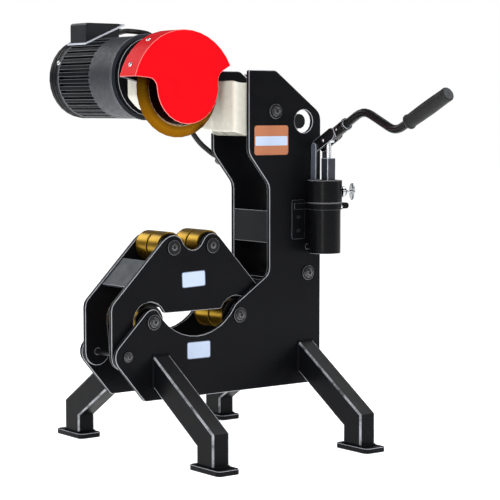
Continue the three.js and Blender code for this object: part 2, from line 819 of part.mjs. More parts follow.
function armCasting() {
  const top = wheelAxis.z + wheelRadius + overrun;
  const bottom = armHeel.z - armHeel.radius - overrun;
  const block = solid(acrossY(armSide(), -armHalfWidth - overrun, armHalfWidth + overrun));
  const shaped = block.intersect(solid(alongZ(armPlan(), bottom, top)));
  const tailOutline = belt([
    turn(armPivot.x, armPivot.z, armTailHubRadius),
    turn(tailPin.x, tailPin.z, armTailRadius),
  ]);
  const whole = shaped.add(solid(acrossY(tailOutline, -armTailHalfWidth, armTailHalfWidth)));
  const reach = armHalfWidth + overrun;
  const bore = (radius, axis) => borer(radius, -reach, reach).translate(axis.x, 0, axis.z);
  return cut(
    whole,
    bore(pivotShaftRadius + slipGap, armPivot),
    bore(tailPinRadius + slipGap, tailPin),
    bore(spindleRadius + slipGap, wheelAxis));
}

// The tail pin keeps its heads inside the side plates, behind their round windows
function tailPinShape() {
  const head = tailPinHalf - tailPinHeadThickness;
  const half = [
    [tailPinRadius, head], [tailPinHeadRadius, head], [tailPinHeadRadius, tailPinHalf], [0, tailPinHalf],
  ];
  return turned([...half.map(([r, y]) => [r, -y]).reverse(), ...half]);
}

// Guard: a flat face with a lobe over the hub, and a rim bent back over the wheel
function guardTips() {
  const front = guardFrontTipHeight - guardArc.z;
  const rear = guardRearTipHeight - guardArc.z;
  return {
    front: [guardArc.x - Math.sqrt(guardArc.radius ** 2 - front ** 2), guardFrontTipHeight],
    rear: [guardArc.x + Math.sqrt(guardArc.radius ** 2 - rear ** 2), guardRearTipHeight],
  };
}

function guardShape() {
  const tips = guardTips();
  const face = belt([
    turn(...tips.rear),
    turn(guardArc.x, guardArc.z, guardArc.radius),
    turn(...tips.front),
    turn(guardFrontFillet.x, guardFrontFillet.z, -guardFrontFillet.radius),
    turn(guardLobe.x, guardLobe.z, guardLobe.radius),
    turn(guardRearFillet.x, guardRearFillet.z, -guardRearFillet.radius),
  ]);
  const startAngle = Math.atan2(tips.rear[1] - guardArc.z, tips.rear[0] - guardArc.x);
  const endAngle = Math.atan2(tips.front[1] - guardArc.z, tips.front[0] - guardArc.x);
  const rim = sector(guardArc, guardArc.radius - guardSheet, guardArc.radius, startAngle, endAngle);
  return join(
    acrossY(face, -guardFace, guardSheet - guardFace),
    acrossY(rim, -guardFace, guardBack));
}

// A part of a flat ring between two angles
function sector(centre, inner, outer, start, end) {
  const steps = Math.ceil((end - start) / arcStep(outer));
  const arc = (radius) => Array.from({ length: steps + 1 }, (_, i) => {
    const angle = start + ((end - start) * i) / steps;
    return new THREE.Vector2(centre.x + radius * Math.cos(angle), centre.z + radius * Math.sin(angle));
  });
  return [...arc(outer), ...arc(inner).reverse()];
}

function guardBracket() {
  const outer = guardArc.radius - guardSheet - seatGap;
  const inner = guardArc.radius - bracketDepth;
  const outline = sector(guardArc, inner, outer, bracketStart, bracketEnd);
  return acrossY(outline, bracketFront, gearboxFront - seatGap);
}

// Cutter wheel: a bevelled rim round a thinner web, and a thick hub
function cutterWheel() {
  const rimInner = wheelRadius - wheelBevelWidth;
  const half = [
    [spindleRadius + slipGap, wheelRimHalf], [wheelHubRadius, wheelRimHalf],
    [wheelHubRadius + wheelHubSlope, wheelWebHalf], [rimInner - wheelLipWidth, wheelWebHalf],
    [rimInner - wheelLipWidth / 2, wheelRimHalf], [rimInner, wheelRimHalf],
    [wheelRadius, wheelEdgeHalf],
  ];
  const back = half.map(([r, y]) => [r, -y]).reverse();
  return ring([...back, ...half].reverse());
}

function spindleShape() {
  const collar = wheelRimHalf + seatGap;
  const nose = -(wheelRimHalf + 2 * seatGap + flangeThickness + nutThickness + spindleStickOut);
  return turned([
    [0, nose], [spindleRadius, nose], [spindleRadius, collar],
    [spindleFlangeRadius, collar], [spindleFlangeRadius, gearboxFront - seatGap],
    [spindleRadius, gearboxFront - seatGap], [spindleRadius, spindleTail], [0, spindleTail],
  ]);
}

function addWheel() {
  const at = [wheelAxis.x, 0, wheelAxis.z];
  const bore = spindleRadius + slipGap;
  const flangeBack = -(wheelRimHalf + seatGap);
  const flangeFront = flangeBack - flangeThickness;
  const nutBack = flangeFront - seatGap;
  const washer = ring([
    [bore, flangeFront], [flangeRadius, flangeFront],
    [flangeRadius, flangeBack], [bore, flangeBack],
  ]);
  const hexagon = circle(0, 0, nutRadius, nutSides);
  const nut = acrossY(hexagon, nutBack - nutThickness, nutBack, [hole(0, 0, bore)]);
  place(arm, 'cutter_wheel', cutterWheel(), bronzeCoat, at);
  place(arm, 'spindle', spindleShape(), brightSteel, at);
  place(arm, 'wheel_flange', washer, blackSteel, at);
  place(arm, 'spindle_nut', nut, brightSteel, at);
}

// Motor: adapter, end shield, finned stator and fan cover in line on one axis
function adapterShape() {
  const bore = motorShaftRadius + slipGap;
  const start = armHalfWidth + seatGap;
  return ring([
    [bore, start], [adapterNeckRadius, start], [adapterNeckRadius, adapterFlangeY - adapterSlope],
    [adapterFlangeRadius, adapterFlangeY], [adapterFlangeRadius, adapterEnd], [bore, adapterEnd],
  ]);
}

function endShield() {
  const bore = motorShaftRadius + slipGap;
  const edge = shieldRingRadius - shieldRadius;
  const start = adapterEnd + seatGap;
  return ring([
    [bore, start], [shieldRingRadius, start],
    [shieldRingRadius, shieldRingEnd - edge], [shieldRadius, shieldRingEnd], [shieldRadius, shieldEnd],
    [bore, shieldEnd],
  ]);
}

function statorShape() {
  const pitch = (2 * Math.PI) / finCount;
  const half = (pitch * finThicknessShare) / 2;
  const root = statorRadius - finDepth;
  const outline = [];
  for (let i = 0; i < finCount; i += 1) {
    const middle = i * pitch + pitch / 2;
    const fin = [[root, -half], [statorRadius, -half], [statorRadius, half], [root, half]];
    for (const [radius, angle] of fin) {
      const at = middle + angle;
      outline.push(new THREE.Vector2(radius * Math.cos(at), radius * Math.sin(at)));
    }
  }
  const bore = hole(0, 0, motorShaftRadius + slipGap);
  return acrossY(outline, shieldEnd + seatGap, statorEnd, [bore]);
}

// The fan cover is a thin cup with rings of slots in its end
function fanCover() {
  const start = statorEnd + seatGap;
  const inner = fanCoverRadius - fanCoverWall;
  const nose = fanCoverRadius - fanCoverShoulder;
  const shoulder = fanCoverEnd - fanCoverShoulder;
  const cup = solid(turned([
    [inner, start], [fanCoverRadius, start], [fanCoverRadius, shoulder], [nose, fanCoverEnd],
    [0, fanCoverEnd], [0, fanCoverEnd - fanCoverWall], [nose - fanCoverWall / 2, fanCoverEnd - fanCoverWall],
    [inner, shoulder], [inner, start],
  ]));
  const slots = [];
  for (let ringNumber = 0; ringNumber < grilleRings; ringNumber += 1) {
    const low = grilleInner + ringNumber * grillePitch;
    const high = low + grilleSlot;
    const gap = Math.asin(grilleSpokeWidth / 2 / low);
    for (let spoke = 0; spoke < grilleSpokes; spoke += 1) {
      const start = (2 * Math.PI * spoke) / grilleSpokes + gap;
      const end = (2 * Math.PI * (spoke + 1)) / grilleSpokes - gap;
      const outline = sector({ x: 0, z: 0 }, low, high, start, end);
      slots.push(acrossY(outline, fanCoverEnd - fanCoverWall - overrun, fanCoverEnd + overrun));
    }
  }
  return cut(cup, ...slots);
}

function fanShape() {
  const half = fanBladeThickness / 2;
  const plate = rod(fanPlateRadius, fanStart, fanStart + fanPlateThickness);
  let fan = join(rod(fanHubRadius, fanStart, fanEnd), plate);
  for (let i = 0; i < fanBlades; i += 1) {
    const blade = slab(0, fanRadius, fanStart, fanEnd, -half, half);
    fan = fan.add(solid(blade.rotateY((2 * Math.PI * i) / fanBlades)));
  }
  return cut(fan, borer(motorShaftRadius + slipGap, fanStart - overrun, fanEnd + overrun));
}

function addMotor() {
  const at = [motorAxis.x, 0, motorAxis.z];
  place(arm, 'motor_adapter', adapterShape(), blackCoat, at);
  place(arm, 'motor_end_shield', endShield(), motorCoat, at);
  place(arm, 'motor_stator', statorShape(), motorCoat, at);
  place(arm, 'fan_cover', fanCover(), motorCoat, at);
  place(arm, 'motor_shaft', rod(motorShaftRadius, motorShaftStart, motorShaftEnd), brightSteel, at);
  place(arm, 'cooling_fan', fanShape(), blackPlastic, at);
}

// Terminal box: its lid meets the base on a sloping seam
const boxFront = motorAxis.x - box.offset;
const boxRear = boxFront + box.length;
const boxSeamLow = motorAxis.z + box.rise;
const boxTop = boxSeamLow + box.height;
const boxSlope = Math.atan2(box.height, box.length);
const seamAt = (x) => boxSeamLow + (x - boxFront) * Math.tan(boxSlope);

function terminalBase() {
  const rise = box.lipThickness / Math.cos(boxSlope);
  const near = box.y - boxLip;
  const far = box.y + box.width;
  const lip = [
    new THREE.Vector2(boxFront - boxLip, seamAt(boxFront - boxLip) - seatGap),
    new THREE.Vector2(boxFront - boxLip, seamAt(boxFront - boxLip) - rise),
    new THREE.Vector2(boxRear, seamAt(boxRear) - rise),
    new THREE.Vector2(boxRear, seamAt(boxRear) - seatGap),
  ];
  const rearWall = boxRear - boxFootInset;
  const floor = motorAxis.z + statorRadius + seatGap;
  const wedge = [
    new THREE.Vector2(boxFront, floor),
    new THREE.Vector2(rearWall, floor),
    new THREE.Vector2(rearWall, seamAt(rearWall) - seatGap * 2),
    new THREE.Vector2(boxFront, Math.max(floor, seamAt(boxFront)) + seatGap),
  ];
  const saddle = [
    new THREE.Vector2(motorAxis.x - boxFootWidth / 2, motorAxis.z),
    new THREE.Vector2(motorAxis.x + boxFootWidth / 2, motorAxis.z),
    new THREE.Vector2(rearWall, floor + boxFootRise.rear),
    new THREE.Vector2(boxFront + boxFootInset, floor + boxFootRise.front),
  ];
  const motorRound = borer(statorRadius + seatGap, near - overrun, far + overrun);
  const wedgeBody = solid(acrossY(wedge, box.y, far)).subtract(aboveSeam());
  const foot = solid(acrossY(saddle, box.y + boxLip, far - boxLip)).subtract(aboveSeam());
  const base = wedgeBody.add(solid(acrossY(lip, near, far + boxLip))).add(foot);
  return cut(base, motorRound.translate(motorAxis.x, 0, motorAxis.z));
}

// Everything above the seam, for trimming the base
function aboveSeam() {
  const left = boxFront - boxLip - overrun;
  const right = boxRear + overrun;
  const outline = [
    new THREE.Vector2(left, seamAt(left) - seatGap),
    new THREE.Vector2(right, seamAt(right) - seatGap),
    new THREE.Vector2(right, boxTop + overrun),
    new THREE.Vector2(left, boxTop + overrun),
  ];
  return solid(acrossY(outline, box.y - boxLip - overrun, box.y + box.width + boxLip + overrun));
}

function terminalLid() {
  const wedge = belt([
    turn(boxFront, seamAt(boxFront)),
    turn(boxRear - lidRoundRadius, seamAt(boxRear - lidRoundRadius)),
    turn(boxRear - 2 * lidRoundRadius, boxTop - lidRoundRadius / 2, lidRoundRadius / 2),
    turn(boxFront + lidRoundRadius, boxTop - lidRoundRadius, lidRoundRadius),
  ]);
  return solid(acrossY(wedge, box.y, box.y + box.width));
}

// A cable gland along +Y from the origin: a nut and a domed sleeve, bored through
function glandShape() {
  const bore = cableRadius + slipGap;
  return ring([
    [bore, 0], [gland.nutRadius, 0], [gland.nutRadius, gland.nutLength], [gland.radius, gland.nutLength],
    [gland.radius, gland.length - gland.dome], [bore + slipGap, gland.length], [bore, gland.length],
  ]);
}

// The motor cable hangs from the terminal box round behind the gearbox to the far side plate
const motorGlandX = boxRear - boxFootInset + seatGap;
const motorGlandY = box.y + motorGlandInset;
const motorGlandHeight = boxTop - motorGlandDrop;
const cableStart = new THREE.Vector3(motorGlandX + gland.length / 2, motorGlandY, motorGlandHeight);
const cableFinish = new THREE.Vector3(frameGland.x, plateOuter + seatGap + gland.length / 2, frameGland.z);
const cableRoute = [
  [-136, 282, 935.5], [-125, 268, 934], [-114, 248, 930], [-109, 224, 919], [-103, 196, 888],
  [-95, 170, 842], [-92, 144, 785], [-97, 118, 732], [-97, 100, 697], [-76, 92, 676.5],
  [-55, 88, 661], [-34, 92, 648], [-6, 104, 637], [20, 118, 628], [38, 127, 621], [47, 122, 617.5],
  [49, 108, 615.5],
];

function cableShape() {
  const points = [
    cableStart,
    cableStart.clone().setX(cableStart.x + gland.length),
    ...cableRoute.map((p) => new THREE.Vector3(...p)),
    cableFinish.clone().setY(cableFinish.y + gland.length),
    cableFinish,
  ];
  const curve = new THREE.CatmullRomCurve3(points, false, 'centripetal');
  return sweep(curve.getSpacedPoints(cableSteps), cableRadius, cableSides);
}

function addTerminalBox() {
  place(arm, 'terminal_box', terminalBase(), blackPlastic);
  place(arm, 'terminal_lid', terminalLid(), blackPlastic);
  const motorGland = place(arm, 'motor_gland', glandShape(), blackPlastic);
  motorGland.rotation.z = -Math.PI / 2;
  motorGland.position.set(motorGlandX, motorGlandY, motorGlandHeight);
  const end = place(frame, 'frame_gland', glandShape(), blackPlastic);
  end.position.set(frameGland.x, plateOuter + seatGap, frameGland.z);
  place(arm, 'motor_cable', cableShape(), rubber);
}

function addArm() {
  place(arm, 'arm_casting', armCasting(), creamCoat);
  place(arm, 'tail_pin', tailPinShape(), blackSteel, [tailPin.x, 0, tailPin.z]);
  place(arm, 'wheel_guard', guardShape(), redCoat, [wheelAxis.x, 0, wheelAxis.z]);
  place(arm, 'guard_bracket', guardBracket(), blackCoat, [wheelAxis.x, 0, wheelAxis.z]);
  addWheel();
  addMotor();
  addTerminalBox();
}

// Hydraulic cylinder: drawn upright from its foot pin and leaned towards the tail pin
const cylinderLean = Math.atan2(tailPin.x - cylinderFoot.x, tailPin.z - cylinderFoot.z);
const pinDistance = Math.hypot(tailPin.x - cylinderFoot.x, tailPin.z - cylinderFoot.z);

function cylinderShape() {
  const bore = ramRadius + slipGap;
  const barrel = upright(turned([
    [0, cylinderStart], [cylinderRadius, cylinderStart], [cylinderRadius, cylinderCapStart],
    [cylinderCapRadius, cylinderCapStart], [cylinderCapRadius, cylinderEnd],
    [bore, cylinderEnd], [bore, ramBoreStart], [0, ramBoreStart],
  ]));
  const eye = belt([turn(0, 0, cylinderEyeRadius), turn(0, cylinderEyeRise, cylinderEyeRadius)]);
  const whole = join(barrel, acrossY(eye, -cylinderEyeHalfWidth, cylinderEyeHalfWidth));
  const reach = cylinderEyeHalfWidth + overrun;
  return cut(whole, borer(footPinRadius + slipGap, -reach, reach));
}

// The ram ends in a fork whose eyes are slotted for the arm tail's small sideways travel
function ramShape() {
  const bridgeTop = pinDistance - forkDepth;
  const shaft = upright(rod(ramRadius, ramStart, bridgeTop - forkBridge / 2));
  const outer = forkInner + forkThickness;
  const fork = belt([
    turn(-forkBridgeHalf, bridgeTop - forkBridge),
    turn(forkBridgeHalf, bridgeTop - forkBridge),
    turn(0, pinDistance, forkRadius),
  ]);
  const body = join(shaft, acrossY(fork, -outer, outer));
  const beyond = pinDistance + forkRadius + overrun;
  const gap = slab(-forkRadius, forkRadius, -forkInner, forkInner, bridgeTop, beyond);
  const slot = belt([
    turn(-pinSideways, pinDistance, tailPinRadius + pinLift),
    turn(pinSideways, pinDistance, tailPinRadius + pinLift),
  ]);
  return cut(body, gap, acrossY(slot, -outer - overrun, outer + overrun));
}

// The pressure pipe runs from the pump tank through the near plate to the cylinder
function pressurePipe() {
  const pipe = rod(pipeRadius, pumpY, 0).translate(pipeX, 0, pipeZ);
  const tank = upright(borer(pumpRadius + seatGap, pumpBottom, pumpTop)).translate(pumpX, pumpY, 0);
  const barrel = upright(borer(cylinderRadius + seatGap, cylinderStart, cylinderCapStart));
  barrel.rotateY(cylinderLean).translate(cylinderFoot.x, 0, cylinderFoot.z);
  return cut(solid(pipe), tank, barrel);
}

function addHydraulics() {
  for (const [name, shape, finish] of [
    ['hydraulic_cylinder', cylinderShape(), blackCoat],
    ['ram', ramShape(), brightSteel],
  ]) {
    const piece = place(frame, name, shape, finish, [cylinderFoot.x, 0, cylinderFoot.z]);
    piece.rotation.y = cylinderLean;
  }
  place(frame, 'pressure_pipe', pressurePipe(), brightSteel);
}

// Hand pump on the near plate
function addPumpBody() {
  const at = [pumpX, pumpY, 0];
  const tank = upright(turned([
    [0, pumpBottom], [pumpRadius - pumpEdge, pumpBottom], [pumpRadius, pumpBottom + pumpEdge],
    [pumpRadius, pumpShoulder], [0, pumpShoulder],
  ]));
  place(frame, 'pump_tank', tank, blackCoat, at);
  const start = pumpShoulder + seatGap;
  const inside = pumpHeadRadius - pumpHeadWall;
  const head = upright(turned([
    [0, start], [pumpHeadRadius - pumpEdge, start], [pumpHeadRadius, start + pumpEdge],
    [pumpHeadRadius, pumpTop], [inside, pumpTop], [inside, pumpTop - pumpHeadRecess],
    [0, pumpTop - pumpHeadRecess],
  ]));
  place(frame, 'pump_head', head, blackCoat, at);
  const half = barrelWidth / 2;
  const foot = pumpTop - pumpHeadRecess + seatGap;
  const block = alongZ(
    roundedRectangle(-half, -half, half, half, barrelCorner), foot, barrelTop,
    [hole(0, 0, plungerRadius + slipGap)]);
  place(frame, 'pump_barrel', block, blackSteel, [pumpX, barrelY, 0]);
}

// The handle's pin over the plunger lies on the socket's own slope
const plungerPinZ = fulcrum.z + (fulcrum.y - barrelY) * Math.tan(socketLift);

// Two bars that stand on the pump head and hold the handle's fulcrum pin
function fulcrumLink() {
  const foot = pumpTop - pumpHeadRecess + seatGap;
  const half = linkWidth / 2;
  const footY = fulcrum.y + linkFootOffset;
  const bar = belt([
    turn(footY - half, foot),
    turn(footY + half, foot),
    turn(fulcrum.y, fulcrum.z, half),
  ]);
  const outer = linkInner + linkThickness;
  const base = slab(-outer, outer, footY - half, footY + half, foot, foot + linkBaseHeight);
  const pin = rod(handlePinRadius, -outer, outer).rotateZ(Math.PI / 2).translate(0, fulcrum.y, fulcrum.z);
  return join(base, alongX(bar, linkInner, outer), alongX(bar, -outer, -linkInner), pin);
}

// The strap runs round the tank from a tab screwed to the plate and ends in two ears
function pumpClamp() {
  const high = strapLow + strapHeight;
  const bore = pumpRadius + slipGap;
  const outer = bore + strapThickness;
  const hoop = upright(rod(outer, strapLow, high)).translate(pumpX, pumpY, 0);
  const face = -plateOuter - seatGap;
  const tab = acrossY(
    roundedRectangle(strapTab.x, strapTab.low, strapTab.x + strapTab.width, strapTab.high, strapTab.radius),
    face - strapTab.thickness, face);
  const bridge = slab(
    strapTab.x + strapTab.width / 2, pumpX, face - strapTab.thickness, face, strapLow, high);
  const ear = slab(
    pumpX + bore, pumpX + outer + strapEar.length,
    pumpY - strapEar.width / 2, pumpY + strapEar.width / 2, strapLow, high);
  const slit = slab(
    pumpX + pumpRadius - overrun, pumpX + outer + strapEar.length + overrun,
    pumpY - strapEar.slit / 2, pumpY + strapEar.slit / 2, strapLow - overrun, high + overrun);
  const hollow = upright(borer(bore, strapLow - overrun, high + overrun));
  hollow.translate(pumpX, pumpY, 0);
  return cut(join(hoop, tab, bridge, ear), slit, hollow);
}

// The plunger's flat head is slotted for the handle pin's small sideways travel
function plungerShape() {
  const head = acrossPlunger(plungerHeadHalfY, plungerHeadHalfZ);
  const stem = upright(rod(plungerRadius, barrelTop - plungerStroke, plungerPinZ - plungerHeadHalfZ / 2));
  const slot = belt([
    turn(-plungerPinSideways, plungerPinZ, handlePinRadius + plungerPinLift),
    turn(plungerPinSideways, plungerPinZ, handlePinRadius + plungerPinLift),
  ]);
  const reach = plungerHeadHalfX + overrun;
  return cut(join(stem, alongX(head, -plungerHeadHalfX, plungerHeadHalfX)), alongX(slot, -reach, reach));
}

const acrossPlunger = (halfY, halfZ) =>
  roundedRectangle(-halfY, plungerPinZ - halfZ, halfY, plungerPinZ + halfZ, plungerHeadHalfX / 2);

// Points of the handle are drawn in the plane of the pump's axis: outwards along -Y, and up
function socketPoint(distance) {
  return { y: fulcrum.y - distance * Math.cos(socketLift), z: fulcrum.z + distance * Math.sin(socketLift) };
}

// The socket is drawn along +Y from the fulcrum, then turned to its slope
function handleSocket() {
  const cheeks = alongX(
    belt([turn(0, 0, socketHalf), turn(cheekLength + cheekOverlap, 0, socketHalf)]), -socketHalf, socketHalf);
  const sleeve = rod(socketHalf, cheekLength, socketLength);
  const collar = rod(socketCollar.radius, socketLength - socketCollar.length, socketLength);
  const inside = socketHalf - cheekThickness;
  const past = socketHalf + overrun;
  const channel = slab(-inside, inside, -past, cheekLength, -past, past);
  const bore = borer(tubeRadius + slipGap, socketLength - tubeInsert, socketLength + overrun);
  const pivot = borer(handlePinRadius + slipGap, -past, past).rotateZ(Math.PI / 2);
  const opened = cut(join(cheeks, sleeve, collar), channel, bore, pivot);
  const reach = Math.hypot(barrelY - fulcrum.y, plungerPinZ - fulcrum.z);
  const pin = rod(handlePinRadius, -socketHalf + slipGap, socketHalf - slipGap).rotateZ(Math.PI / 2);
  return opened.add(solid(pin.translate(0, reach, 0)));
}

// The bent tube follows straight runs joined by two bends
function tubePath() {
  const start = socketPoint(socketLength - tubeInsert + seatGap);
  const corners = [start, tubeRise, tubeDip, tubeEnd].map((p) => new THREE.Vector3(0, p.y, p.z));
  const points = [corners[0]];
  for (const [i, radius] of [[1, tubeRise.radius], [2, tubeDip.radius]]) {
    const back = corners[i - 1].clone().sub(corners[i]).normalize();
    const on = corners[i + 1].clone().sub(corners[i]).normalize();
    const cutBack = radius / Math.tan(back.angleTo(on) / 2);
    const enter = corners[i].clone().addScaledVector(back, cutBack);
    const leave = corners[i].clone().addScaledVector(on, cutBack);
    points.push(...new THREE.QuadraticBezierCurve3(enter, corners[i], leave).getPoints(tubeBendSteps));
  }
  const run = corners[3].clone().sub(corners[2]).normalize();
  points.push(corners[3].clone().addScaledVector(run, -gripEndWall - seatGap));
  return points;
}

const handleTube = () => sweep(tubePath(), tubeRadius, tubeSides);

// The grip swells in the middle and has a ring at its inner end
function gripShape() {
  const bore = tubeRadius + slipGap;
  const swell = gripWaistShares.map((share) => {
    return [gripRadius + gripBulge * Math.sin(Math.PI * share), gripLength * share];
  });
  return turned([
    [bore, 0], [gripRadius - gripBulge / 2, 0], [gripRadius + gripBulge / 2, gripRing / 2],
    [gripRadius + gripBulge / 2, gripRing], [gripRadius - gripBulge / 2, gripRing + gripBulge],
    ...swell, [gripRadius - gripBulge, gripLength], [0, gripLength],
    [0, gripLength - gripEndWall], [bore, gripLength - gripEndWall], [bore, 0],
  ]);
}

function addHandle() {
  const at = [pumpX, 0, 0];
  place(frame, 'fulcrum_link', fulcrumLink(), blackSteel, at);
  place(frame, 'pump_plunger', plungerShape(), brightSteel, [pumpX, barrelY, 0]);
  const socket = place(frame, 'handle_socket', handleSocket(), blackCoat, [pumpX, fulcrum.y, fulcrum.z]);
  socket.rotation.x = Math.PI - socketLift;
  place(frame, 'handle_tube', handleTube(), blackCoat, at);
  const gripRun = new THREE.Vector2(tubeEnd.y - tubeDip.y, tubeEnd.z - tubeDip.z).normalize();
  const start = [pumpX, tubeEnd.y - gripRun.x * gripLength, tubeEnd.z - gripRun.y * gripLength];
  const grip = place(frame, 'handle_grip', gripShape(), rubber, start);
  grip.rotation.x = Math.atan2(gripRun.y, gripRun.x);
}

// Release valve: a stub in the pump head and a round knob on its stem
function addReleaseValve() {
  const start = pumpHeadRadius + seatGap;
  const nut = start + valveNutLength;
  const stub = turned([
    [0, start], [valveNutRadius, start], [valveNutRadius, nut], [valveRadius, nut],
    [valveRadius, valveReach], [0, valveReach],
  ]);
  const knobStart = valveReach + seatGap;
  const crown = knobStemEnd + knobThickness;
  const edge = knobThickness / 3;
  const knob = turned([
    [0, knobStart], [knobStemRadius, knobStart], [knobStemRadius, knobStemEnd],
    [knobRadius - edge, knobStemEnd], [knobRadius, knobStemEnd + edge], [knobRadius, crown - edge],
    [knobRadius - edge, crown], [0, crown],
  ]);
  const valve = place(frame, 'release_valve', stub, brightSteel, [pumpX, pumpY, valveZ]);
  const knobMesh = place(frame, 'release_knob', knob, brightSteel, [pumpX, pumpY, valveZ]);
  valve.rotation.z = valveAngle - Math.PI / 2;
  knobMesh.rotation.z = valveAngle - Math.PI / 2;
}

addSidePlates();
addBraces();
addLegs();
addFrameShafts();
addLowerRollers();
addCradle();
addArm();
addHydraulics();
addPumpBody();
place(frame, 'pump_clamp', pumpClamp(), blackCoat);
addHandle();
addReleaseValve();

// The origin is the middle of the machine's footprint, on the floor
machine.updateMatrixWorld(true);
const bounds = new THREE.Box3().setFromObject(machine, true);
machine.position.set(-(bounds.min.x + bounds.max.x) / 2, -(bounds.min.y + bounds.max.y) / 2, -bounds.min.z);

export default machine;
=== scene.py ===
import math

import bmesh
import bpy
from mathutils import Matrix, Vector


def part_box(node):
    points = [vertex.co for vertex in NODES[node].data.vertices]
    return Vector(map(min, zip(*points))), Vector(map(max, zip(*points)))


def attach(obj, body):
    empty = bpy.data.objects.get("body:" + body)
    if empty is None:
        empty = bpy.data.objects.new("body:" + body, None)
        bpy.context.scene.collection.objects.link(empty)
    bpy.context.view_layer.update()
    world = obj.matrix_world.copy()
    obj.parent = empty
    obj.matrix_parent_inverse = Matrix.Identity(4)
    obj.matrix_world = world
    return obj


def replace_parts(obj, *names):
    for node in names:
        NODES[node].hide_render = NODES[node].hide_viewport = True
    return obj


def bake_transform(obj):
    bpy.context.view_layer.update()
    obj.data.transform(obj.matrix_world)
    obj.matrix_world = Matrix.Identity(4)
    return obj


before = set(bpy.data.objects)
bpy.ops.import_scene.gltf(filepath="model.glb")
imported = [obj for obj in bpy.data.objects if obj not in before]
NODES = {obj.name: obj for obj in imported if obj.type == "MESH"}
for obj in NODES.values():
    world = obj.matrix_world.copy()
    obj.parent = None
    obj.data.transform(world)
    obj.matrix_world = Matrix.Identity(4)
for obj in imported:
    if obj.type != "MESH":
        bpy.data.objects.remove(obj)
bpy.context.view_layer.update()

MM = 0.001


# Where things are: the CAD's own layout, in millimetres from the floor and the middle plane

def middle(node):
    """Middle of a CAD node's box, in metres."""
    low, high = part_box(node)
    return (low + high) / 2


WHEEL_X, WHEEL_Z = -198.5, 800.0
MOTOR_X, MOTOR_Z = -205.0, 825.0
PLATE_OUTER, PLATE_INNER = 72.0, 62.0
PUMP_X, PUMP_Y = 130.0, -112.0
SEAT_GAP = 0.3
ORIGIN = Vector((
    middle("cutter_wheel").x - WHEEL_X * MM,
    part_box("side_plate_near")[0].y + PLATE_OUTER * MM,
    0.0,
))


def at(x, y, z):
    """A point of the layout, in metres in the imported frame."""
    return ORIGIN + Vector((x, y, z)) * MM


# Camera

CAMERA_PLACE = (-2442.0, -3193.6, 750.8)
CAMERA_AIM = (1.6, 0.0, 432.8)
LENS, SENSOR_WIDTH, CLIP_END = 127.15, 36.0, 50.0


def add_camera():
    """The photograph's own view of the machine."""
    camera = bpy.data.cameras.new("photo_camera")
    camera.lens = LENS
    camera.sensor_width = SENSOR_WIDTH
    camera.clip_end = CLIP_END
    holder = bpy.data.objects.new("photo_camera", camera)
    bpy.context.scene.collection.objects.link(holder)
    holder.location = at(*CAMERA_PLACE)
    view = at(*CAMERA_AIM) - holder.location
    holder.rotation_euler = view.to_track_quat("-Z", "Y").to_euler()
    bpy.context.scene.camera = holder


add_camera()


# Materials

# The mix node's colour sockets share their names with its other sockets
MIX_FIRST, MIX_SECOND, MIX_RESULT = 6, 7, 2


